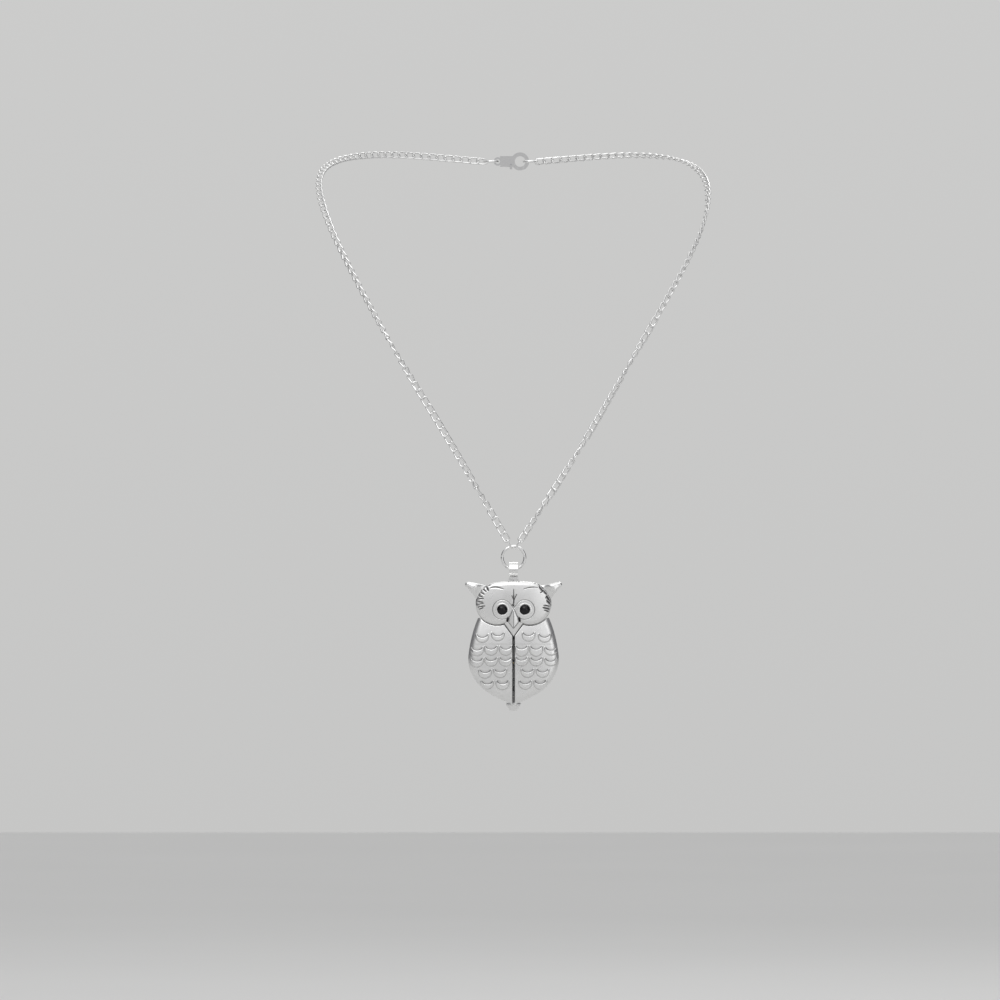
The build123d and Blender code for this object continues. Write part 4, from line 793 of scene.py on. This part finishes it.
def headRelief(x, z, low):
    # Height of the face and its dark layer: a dome with rounded edges, the beak, then every stroke; oxide
    # in the strokes, and painted shade in the eye seats, under the beak and under the jaw
    dome = head["depth"] - (x ** 2 + (z - head["lobeZ"]) ** 2) / (2 * head["domeRadius"])
    inside = np.maximum(insideHead(x, z), 0)
    ridge, inner, band, outer = beakForm(x, z)
    front = (dome - edgeDrop(inside, head["edgeWidth"], head["edgeDepth"])) * (1 - outer) + band * outer
    front = np.where(insideHead(x, z) < 0, band, front)
    relief = front * (1 - inner) + np.maximum(ridge, front) * inner, np.zeros_like(x)
    for start, end, half in forehead:
        share = strokeShare(x, z, start, end, half, strokes["foreheadTaper"])
        relief = engrave(relief, share, *strokes["forehead"])
    for start, middle, end, half in brows:
        share = curveShare(x, z, (start, middle, end), half)
        relief = engrave(relief, share, strokes["brow"], np.sqrt(share))
    for start, end, half in cuts:
        relief = engrave(relief, strokeShare(x, z, start, end, half), *strokes["cut"])
    relief = engrave(relief, raggedShare(x, z), *strokes["ragged"])
    relief = engrave(relief, eyeLines(x, z) * (1 - inner), *strokes["eye"])
    for side in (-1, 1):
        eye = np.hypot(x - side * eyes["x"], z - eyes["z"])
        collar = bell(eye - eyes["collar"], eyes["collarWidth"])
        seat = smoothStep((eyes["stone"] + eyes["seatMargin"] - eye) / eyes["seatFade"])
        # Painted shade in the seat round each stone
        shade = smoothStep((eyes["stone"] + eyes["shadeMargin"] - eye) / eyes["shadeFade"])
        front = relief[0] + eyes["collarRise"] * collar - eyes["seatDepth"] * seat
        dark = np.maximum(relief[1], headShade["seatDark"] * shade)
        top, end = np.array([eyes["notchTop"], eyes["notchLow"]]) * [side, 1]
        relief = engrave((front, dark), strokeShare(x, z, top, end, eyes["notch"]), *strokes["notch"])
    ridgeLine = strokeShare(x, z, beak["lineTop"], beak["lineLow"], beak["line"], strokes["blunt"])
    front, oxideAndShade = engrave(relief, ridgeLine * inner, *strokes["ridge"])
    # Painted shade under the upper beak, along the beak's sides and under the jaw
    aside = np.abs(x)
    lip = bell(z - beak["floorZ"] - beak["floorSlope"] * aside, headShade["lip"]) * outer
    lip = headShade["lipDark"] * lip * (aside < headShade["lipHalf"])
    beakSide = bell(z - low, headShade["side"]) * (aside < beak["half"] + headShade["sideMargin"])
    jaw = bell(inside, headShade["jaw"]) * smoothStep((headShade["jawZ"] - z) / headShade["jawFade"])
    jaw = headShade["jawDark"] * jaw * (aside > beak["half"])
    oxideAndShade = np.maximum(np.maximum(oxideAndShade, lip), np.maximum(headShade["sideDark"] * beakSide, jaw))
    return np.maximum(front, head["wall"] - head["backY"]), oxideAndShade


def headShell():
    # x from lobe to lobe, closer together at both ends, and z between the edges; flat behind, as
    # one strip from the low edge to the high edge, which meet at both ends
    share = np.linspace(-1, 1, head["columns"])
    farX = head["lobeX"] + head["lobeRadius"]
    xs = farX * np.sign(share) * (1 - (1 - np.abs(share)) ** head["squeeze"])
    low, high = headEdges(xs)
    x, z = edgeGrid(xs, low, high, head["rows"])
    front, oxideAndShade = headRelief(x, z, low)
    frontPoints = spread(x, -front, z).reshape(-1, 3)
    backPoints = spread(xs, head["backY"], np.stack([low, high]))
    count = len(frontPoints)
    column = np.arange(head["columns"] - 1)
    walls = []
    for frontRow, backRow in ((0, 0), (head["rows"] - 1, 1)):
        near, far = column + frontRow * head["columns"], column + count + backRow * head["columns"]
        walls.append(np.stack([near, far, far + 1, near + 1], axis=-1))
    faces = np.concatenate([
        gridFaces(head["rows"], head["columns"]), gridFaces(2, head["columns"], count)[:, ::-1], *walls,
    ])
    points = np.concatenate([frontPoints, backPoints.reshape(-1, 3)])
    return points, faces, np.concatenate([oxideAndShade.reshape(-1), np.zeros(len(points) - count)])


ear = {
    "top": ((-6.9, 23.6), (-10.6, 24.55), (-13.95, 25.12)),
    "low": ((-10.6, 18.4), (-12.6, 21.4), (-14.45, 23.5)),
    "rootRise": 0.75, "middleRise": 1.7, "tipRise": 1.3, "backY": -1.15, "flat": 0.35, "arch": 3.2,
    "swellFrom": 0.25, "swellOver": 0.4, "thinFrom": 0.65, "thinOver": 0.35, "tipPower": 0.6,
    "along": 44, "tipSteps": 16, "across": 30,
}


def quadratic(points, t):
    # Bezier curve: (1-t)^2 a + 2t(1-t) b + t^2 c
    a, b, c = (np.array(point) for point in points)
    t = t[:, None]
    return (1 - t) ** 2 * a + 2 * t * (1 - t) * b + t * t * c


def earShell(side):
    # Sections between a top and a low edge curve, closed by a half circle at the tip;
    # each is flat behind and a flattened arch in front
    t = np.linspace(0, 1, ear["along"])
    top, low = quadratic(ear["top"], t), quadratic(ear["low"], t)
    turn = np.linspace(0, math.pi / 2, ear["tipSteps"])[1:, None]
    across = top[-1] - low[-1]
    centre, half = (top[-1] + low[-1]) / 2, np.linalg.norm(across) / 2
    across = unit(across)
    outward = np.array([-across[1], across[0]])
    top = np.concatenate([top, centre + half * (np.cos(turn) * across + np.sin(turn) * outward)])
    low = np.concatenate([low, centre + half * (-np.cos(turn) * across + np.sin(turn) * outward)])
    width = np.linalg.norm(top - low, axis=1)
    s = -np.cos(np.linspace(0, math.pi, ear["across"]))
    arch = np.sqrt(1 - np.abs(s) ** ear["arch"])
    swell = (ear["middleRise"] - ear["rootRise"]) * smoothStep((t - ear["swellFrom"]) / ear["swellOver"])
    thin = (ear["middleRise"] - ear["tipRise"]) * smoothStep((t - ear["thinFrom"]) / ear["thinOver"])
    shrink = np.clip(width[len(t):] / width[len(t) - 1], 0, 1) ** ear["tipPower"]
    rise = np.concatenate([ear["rootRise"] + swell - thin, ear["tipRise"] * shrink])
    middle, span = (top + low) / 2, (top - low) / 2
    plan = middle[:, None, :] + span[:, None, :] * s[None, :, None]
    frontY = ear["backY"] - (ear["flat"] + (1 - ear["flat"]) * arch[None, :]) * rise[:, None]
    front = spread(plan[..., 0], frontY, plan[..., 1])
    back = spread(plan[..., 0], ear["backY"], plan[..., 1])
    loop = np.concatenate([front, back[:, ::-1]], axis=1)
    rows, columns = loop.shape[:2]
    points = np.concatenate([loop.reshape(-1, 3), loop[0].mean(axis=0)[None]])
    # The root is closed by triangles to its middle, written as quads with one corner twice
    ring, hub = np.arange(columns), np.full(columns, rows * columns)
    cap = np.stack([ring, hub, hub, (ring + 1) % columns], axis=-1)
    faces = np.concatenate([gridFaces(rows, columns, wrapColumns=True), cap])
    return points * np.array([-side, 1.0, 1.0]), faces, np.zeros(len(points))


block = {
    "half": 6.6, "topZ": 24.7, "lowZ": 22.5, "inset": 0.45, "overlap": 0.3, "backY": 0.0, "columns": 40,
}


def blockShell():
    # The low block behind the forehead that stands on the case, its top a little inside the head
    x = np.linspace(-block["half"], block["half"], block["columns"])
    top = np.minimum(block["topZ"], headEdges(x)[1] - block["inset"])
    z = np.stack([np.full_like(x, block["lowZ"]), top])
    points, faces = slabShell(spread(x, head["backY"] - block["overlap"], z), spread(x, block["backY"], z))
    return points, faces, np.zeros(len(points))


def makeHead():
    # All four shells in one mesh, where a corner that a quad names twice is dropped
    points, faces, oxideAndShade = joinShells([headShell(), earShell(-1), earShell(1), blockShell()])
    faces = [[corner for at, corner in enumerate(face) if corner != face[at - 1]] for face in faces]
    piece = meshObject("headCover", points, faces, oxideShadeSilver, oxideAndShade, sharpAngle=head["sharpAngle"])
    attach(piece, "watch")
    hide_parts("head_cover")


makeHead()
print("head made")

# Chain: closed wire links along each run

chain = {
    "wireRadius": 0.24, "halfWidth": 0.85, "halfLength": 1.67, "saddle": 0.5, "pitch": 2.7, "width": 2.2,
    "around": 18, "section": 5, "endAround": 60, "endSection": 14, "resolution": 40, "sharpAngle": 100,
    "neckY": 42.0, "endX": 0.85, "hangY": 1.9, "ringZ": 32.6, "ringRadius": 3.5, "weld": 1e-8,
}
# Points of each run, from the jump ring up and round the neck to the clasp
leftRoute = (
    (-2.6, 1.9, 39.05), (-19.9, 3.2, 69.1), (-35.4, 6.5, 93.9), (-50.7, 14.0, 121.8),
    (-59.4, 25.0, 140.4), (-62.0, 40.5, 152.5), (-56.0, 59.0, 158.5), (-41.5, 74.5, 160.5),
    (-25.5, 84.0, 159.8), (-10.0, 88.0, 158.5),
)
rightRoute = (
    (2.8, 1.9, 38.9), (14.6, 2.6, 56.7), (27.0, 4.6, 76.9), (45.6, 10.0, 109.4),
    (55.2, 17.0, 126.5), (60.6, 27.0, 139.5), (61.4, 42.0, 151.0), (55.0, 60.0, 158.0),
    (40.5, 75.0, 160.3), (23.5, 84.2, 159.8), (8.55, 88.0, 158.5),
)
# Slow twist of each run: share of its length, and degrees
leftTwist = (
    (0, 0), (0.03, 10), (0.07, 90), (0.1, 160), (0.21, 200), (0.28, 270),
    (0.36, 345), (0.5, 375), (0.62, 450), (0.8, 530), (1, 540),
)
rightTwist = (
    (0, 0), (0.02, 20), (0.05, 90), (0.075, 165), (0.12, 190), (0.155, 270), (0.19, 345),
    (0.26, 370), (0.32, 450), (0.38, 530), (0.55, 560), (0.75, 640), (1, 720),
)


def curveMesh(name, data):
    # The mesh of a curve or a text, and its points
    holder = sceneObject(name, data)
    bpy.context.view_layer.update()
    mesh = bpy.data.meshes.new_from_object(holder)
    bpy.data.objects.remove(holder)
    points = np.zeros(len(mesh.vertices) * 3)
    mesh.vertices.foreach_get("co", points)
    return mesh, points.reshape(-1, 3)


def routeLine(name, points):
    # The NURBS line of a route, read back as a row of points in the model's frame
    data = bpy.data.curves.new(name, "CURVE")
    data.dimensions = "3D"
    data.resolution_u = chain["resolution"]
    spline = data.splines.new("NURBS")
    spline.points.add(len(points) - 1)
    spots = np.concatenate([toRow(points), np.ones((len(points), 1))], axis=1)
    spline.points.foreach_set("co", spots.reshape(-1))
    spline.order_u = 3
    spline.use_endpoint_u = True
    return curveMesh(name, data)[1]


def linkTemplate(saddle, around, section):
    # A tube round a stadium: x = c sign(cos t) + r cos t, y = r sin t, with each end
    # turned up on one side and down on the other, z = -saddle x y / (length width)
    t = (np.arange(around) + 0.5) * 2 * math.pi / around
    reach = chain["halfLength"] - chain["halfWidth"]
    x = reach * np.sign(np.cos(t)) + chain["halfWidth"] * np.cos(t)
    y = chain["halfWidth"] * np.sin(t)
    z = -saddle * (x / chain["halfLength"]) * (y / chain["halfWidth"])
    line = spread(x, y, z)
    along = unit(np.roll(line, -1, axis=0) - np.roll(line, 1, axis=0))
    side = unit(np.cross(along, [0.0, 0.0, 1.0]))
    up = np.cross(side, along)
    turn = np.arange(section) * 2 * math.pi / section
    ring = np.cos(turn)[:, None, None] * side + np.sin(turn)[:, None, None] * up
    tube = line + chain["wireRadius"] * ring
    return tube.transpose(1, 0, 2).reshape(-1, 3)


def placeLinks(saddle, around, section, origins, alongs, facings):
    # Every link at once: origin + x along + y side + z facing
    template = linkTemplate(saddle, around, section)
    sides = np.cross(facings, alongs)
    axes = np.stack([alongs, sides, facings], axis=1)
    points = origins[:, None, :] + np.einsum("vk,lkj->lvj", template, axes) / place["metre"]
    quads = gridFaces(around, section, wrapRows=True, wrapColumns=True)
    starts = np.arange(len(origins))[:, None, None] * len(template)
    return points.reshape(-1, 3), (quads[None] + starts).reshape(-1, 4)


def runLinks(line, twistTable):
    # Links at equal steps along the line, each turned by the twist round the run's direction
    steps = np.linalg.norm(np.diff(line, axis=0), axis=1)
    distance = np.concatenate([[0.0], np.cumsum(steps)])
    count = int(distance[-1] * place["metre"] / chain["pitch"])
    share = np.arange(count + 1) / count
    spots = share * distance[-1]
    origins = np.stack([np.interp(spots, distance, line[:, axis]) for axis in range(3)], axis=-1)
    alongs = unit(np.gradient(origins, axis=0))
    neckY = (chain["neckY"] - place["napeY"]) / place["metre"]
    outward = origins * np.array([1.0, 1.0, 0.0]) - np.array([0.0, neckY, 0.0])
    outward = unit(outward - alongs * np.sum(alongs * outward, axis=1, keepdims=True))
    side = np.cross(alongs, outward)
    table = np.array(twistTable, float)
    twist = np.radians(np.interp(share, table[:, 0], table[:, 1]))[:, None]
    facings = outward * np.cos(twist) + side * np.sin(twist)
    links = placeLinks(chain["saddle"], chain["around"], chain["section"], origins, alongs, facings)
    return links, distance[-1]


def wireObject(name, points, faces):
    # Closed wire links, whose few sides are shaded round
    mesh = bpy.data.meshes.new(name)
    mesh.from_pydata(points, [], faces.tolist())
    mesh.materials.append(chainSilver)
    finishMesh(mesh, chain["weld"], chain["sharpAngle"])
    piece = sceneObject(name, mesh)
    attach(piece, "chain")
    return piece


def endLinks():
    # A flat link each side round the top of the jump ring, on edge, leaning along its run
    wireZ = chain["ringZ"] + math.sqrt(chain["ringRadius"] ** 2 - chain["endX"] ** 2)
    origins, alongs, facings = [], [], []
    for side, route in ((-1, leftRoute), (1, rightRoute)):
        start = toRow([side * chain["endX"], chain["hangY"], wireZ])
        along = unit(toRow(route[0]) - start)
        origins.append(start + along * (chain["halfLength"] - chain["halfWidth"]) / place["metre"])
        alongs.append(along)
        facings.append(np.cross([0.0, 1.0, 0.0], along))
    points, faces = placeLinks(0.0, chain["endAround"], chain["endSection"],
                               np.array(origins), np.array(alongs), np.array(facings))
    piece = wireObject("endLinks", points, faces)
    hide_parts("chain_end_links")
    return piece


def makeChain():
    # Both runs of links along their routes and twists; the end links are made with the left run, while the
    # clasp's parts and the catch ring are gathered but left unused
    clasp = [nodes["clasp_" + part] for part in ("ring", "body", "lever", "pin", "spring")]
    sides = (
        ("leftChain", leftRoute, leftTwist, ("chain_left_front", "chain_left_back"), [endLinks()] + clasp),
        ("rightChain", rightRoute, rightTwist, ("chain_right_front", "chain_right_back"),
         [nodes["catch_ring"]]),
    )
    for name, route, twistTable, replaced, along in sides:
        line = routeLine(name + "Route", route)
        (points, faces), length = runLinks(line, twistTable)
        piece = wireObject(name, points, faces)
        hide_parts(*replaced)
        print(name, "is", round(length * place["metre"], 1), "mm long")


makeChain()
print("chain made")

# Printing on the dial: minute ticks between the hour bars, and four plain numbers

dialPrint = {
    "frontY": 2.6, "rise": 0.03, "tickOuter": 8.9, "tickInner": 8.35, "tickHalf": 0.06,
    "numberRadius": 5.6, "numberSize": 2.3, "sharpAngle": 30, "weld": 1e-8,
}


def makeTicks():
    # A thin bar at each minute that has no hour bar: outward (sin, cos) and across (cos, -sin)
    minutes = np.arange(60)
    minutes = minutes[minutes % 5 != 0]
    turn = np.radians(minutes * 6.0)[:, None]
    across = np.array([-1.0, 1.0, 1.0, -1.0]) * dialPrint["tickHalf"]
    outward = np.repeat([dialPrint["tickInner"], dialPrint["tickOuter"]], 2)
    x = outward * np.sin(turn) + across * np.cos(turn)
    z = outward * np.cos(turn) - across * np.sin(turn)
    depths = (dialPrint["frontY"] - dialPrint["rise"], dialPrint["frontY"])
    layers = [spread(x, y, z).reshape(-1, 3) for y in depths]
    front = np.arange(len(minutes) * 4).reshape(-1, 4)
    after, count = np.roll(front, -1, axis=1), front.size
    walls = np.stack([front, front + count, after + count, after], axis=-1).reshape(-1, 4)
    faces = np.concatenate([front, front[:, ::-1] + count, walls])
    piece = meshObject("minuteTicks", np.concatenate(layers), faces.tolist(), blackLacquer)
    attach(piece, "watch")


def makeNumbers():
    # Each number's letters stood up (x, -z, y) and moved to its hour on a circle: (sin, cos) of it
    for text, hour in (("12", 0), ("3", 3), ("6", 6), ("9", 9)):
        data = bpy.data.curves.new("number" + text, "FONT")
        data.body = text
        data.size = dialPrint["numberSize"] / place["metre"]
        data.extrude = dialPrint["rise"] / 2 / place["metre"]
        data.align_x, data.align_y = "CENTER", "CENTER"
        mesh, flat = curveMesh("numberText" + text, data)
        turn = math.radians(hour * 30)
        radius, depth = dialPrint["numberRadius"], dialPrint["frontY"] - dialPrint["rise"] / 2
        spot = toRow([radius * math.sin(turn), depth, radius * math.cos(turn)])
        points = spread(flat[:, 0], -flat[:, 2], flat[:, 1]) + spot
        mesh.vertices.foreach_set("co", points.reshape(-1))
        finishMesh(mesh, dialPrint["weld"], dialPrint["sharpAngle"])
        mesh.materials.clear()
        mesh.materials.append(blackLacquer)
        piece = sceneObject("number" + text, mesh)
        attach(piece, "watch")


makeTicks()
makeNumbers()
print("dial printed")

# Floor, world and lamps

# Colours of the sky and where along the ray's x, y and z each begins; the lamps' aim is in millimetres
studio = {
    "floorZ": -0.30, "floorSize": 5.0, "floorColour": (0.64, 0.64, 0.635), "floorScale": 6.0,
    "floorRoughLow": 0.75, "floorRoughHigh": 0.9,
    "front": (0.74, 0.74, 0.745), "behind": (0.58, 0.58, 0.575), "depth": 0.6,
    "gap": (0.46, 0.46, 0.465), "gapEdge": -0.9, "sides": (0.13, 0.13, 0.135), "sideStart": 0.3,
    "sideFull": 0.85, "low": 0.3, "high": 1.7, "strength": 1.0, "aimZ": 30.0,
}
lamps = (
    # name, place in metres, watts, width and height in metres
    ("keyLamp", (-0.30, -0.95, 0.65), 2.6, 0.75, 0.55),
    ("fillLamp", (0.55, -0.9, -0.1), 0.5, 0.4, 0.6),
    ("rimLamp", (0.25, 0.7, 0.5), 1.6, 0.6, 0.4),
)


def makeFloor():
    # A square of matt paint below the watch
    half, z = studio["floorSize"] / 2, studio["floorZ"]
    mesh = bpy.data.meshes.new("floor")
    corners = [(-half, -half, z), (half, -half, z), (half, half, z), (-half, half, z)]
    mesh.from_pydata(corners, [], [(0, 1, 2, 3)])
    material, tree, shader = newMaterial("floorPaint")
    rough = noiseRange(tree, studio["floorScale"], studio["floorRoughLow"], studio["floorRoughHigh"])[0]
    feed(tree, shader, {"Base Color": studio["floorColour"] + (1.0,), "Roughness": rough})
    mesh.materials.append(material)
    sceneObject("floor", mesh)


def makeWorld():
    # A soft sky, the same to every ray: pale before and behind the watch, dark at both sides, and
    # darker in the gap straight before it; it brightens from below to above
    world = bpy.data.worlds.new("studioSky")
    bpy.context.scene.world = world
    world.use_nodes = True
    tree = world.node_tree
    axis, across = axisOutputs(tree, "Generated")
    smooth = {"interpolation_type": "SMOOTHSTEP"}
    depth = mapRange(tree, axis["Y"], -studio["depth"], studio["depth"], **smooth)
    ahead = mapRange(tree, axis["Y"], -1.0, studio["gapEdge"], **smooth)
    sides = mapRange(tree, across, studio["sideStart"], studio["sideFull"], **smooth)
    height = mapRange(tree, axis["Z"], -1.0, 1.0, studio["low"], studio["high"])
    sky = colourMix(tree, depth, studio["front"], studio["behind"])
    sky = colourMix(tree, ahead, studio["gap"], sky)
    sky = colourMix(tree, sides, sky, studio["sides"])
    shade = addNode(tree, "ShaderNodeVectorMath", {0: sky, "Scale": height}, operation="SCALE")
    background = {"Color": shade.outputs["Vector"], "Strength": studio["strength"]}
    feed(tree, tree.nodes["Background"], background)


def makeLamps():
    # Soft boxes, all turned towards a point just over the head
    aim = Vector(toRow([0.0, 0.0, studio["aimZ"]]))
    for name, spot, watts, width, height in lamps:
        data = bpy.data.lights.new(name, "AREA")
        data.shape = "RECTANGLE"
        data.size, data.size_y, data.energy = width, height, watts
        lamp = sceneObject(name, data)
        lamp.location = spot
        lamp.rotation_euler = (aim - Vector(spot)).to_track_quat("-Z", "Y").to_euler()


makeFloor()
makeWorld()
makeLamps()
bpy.context.scene.view_settings.view_transform = "Standard"
print("studio lit")
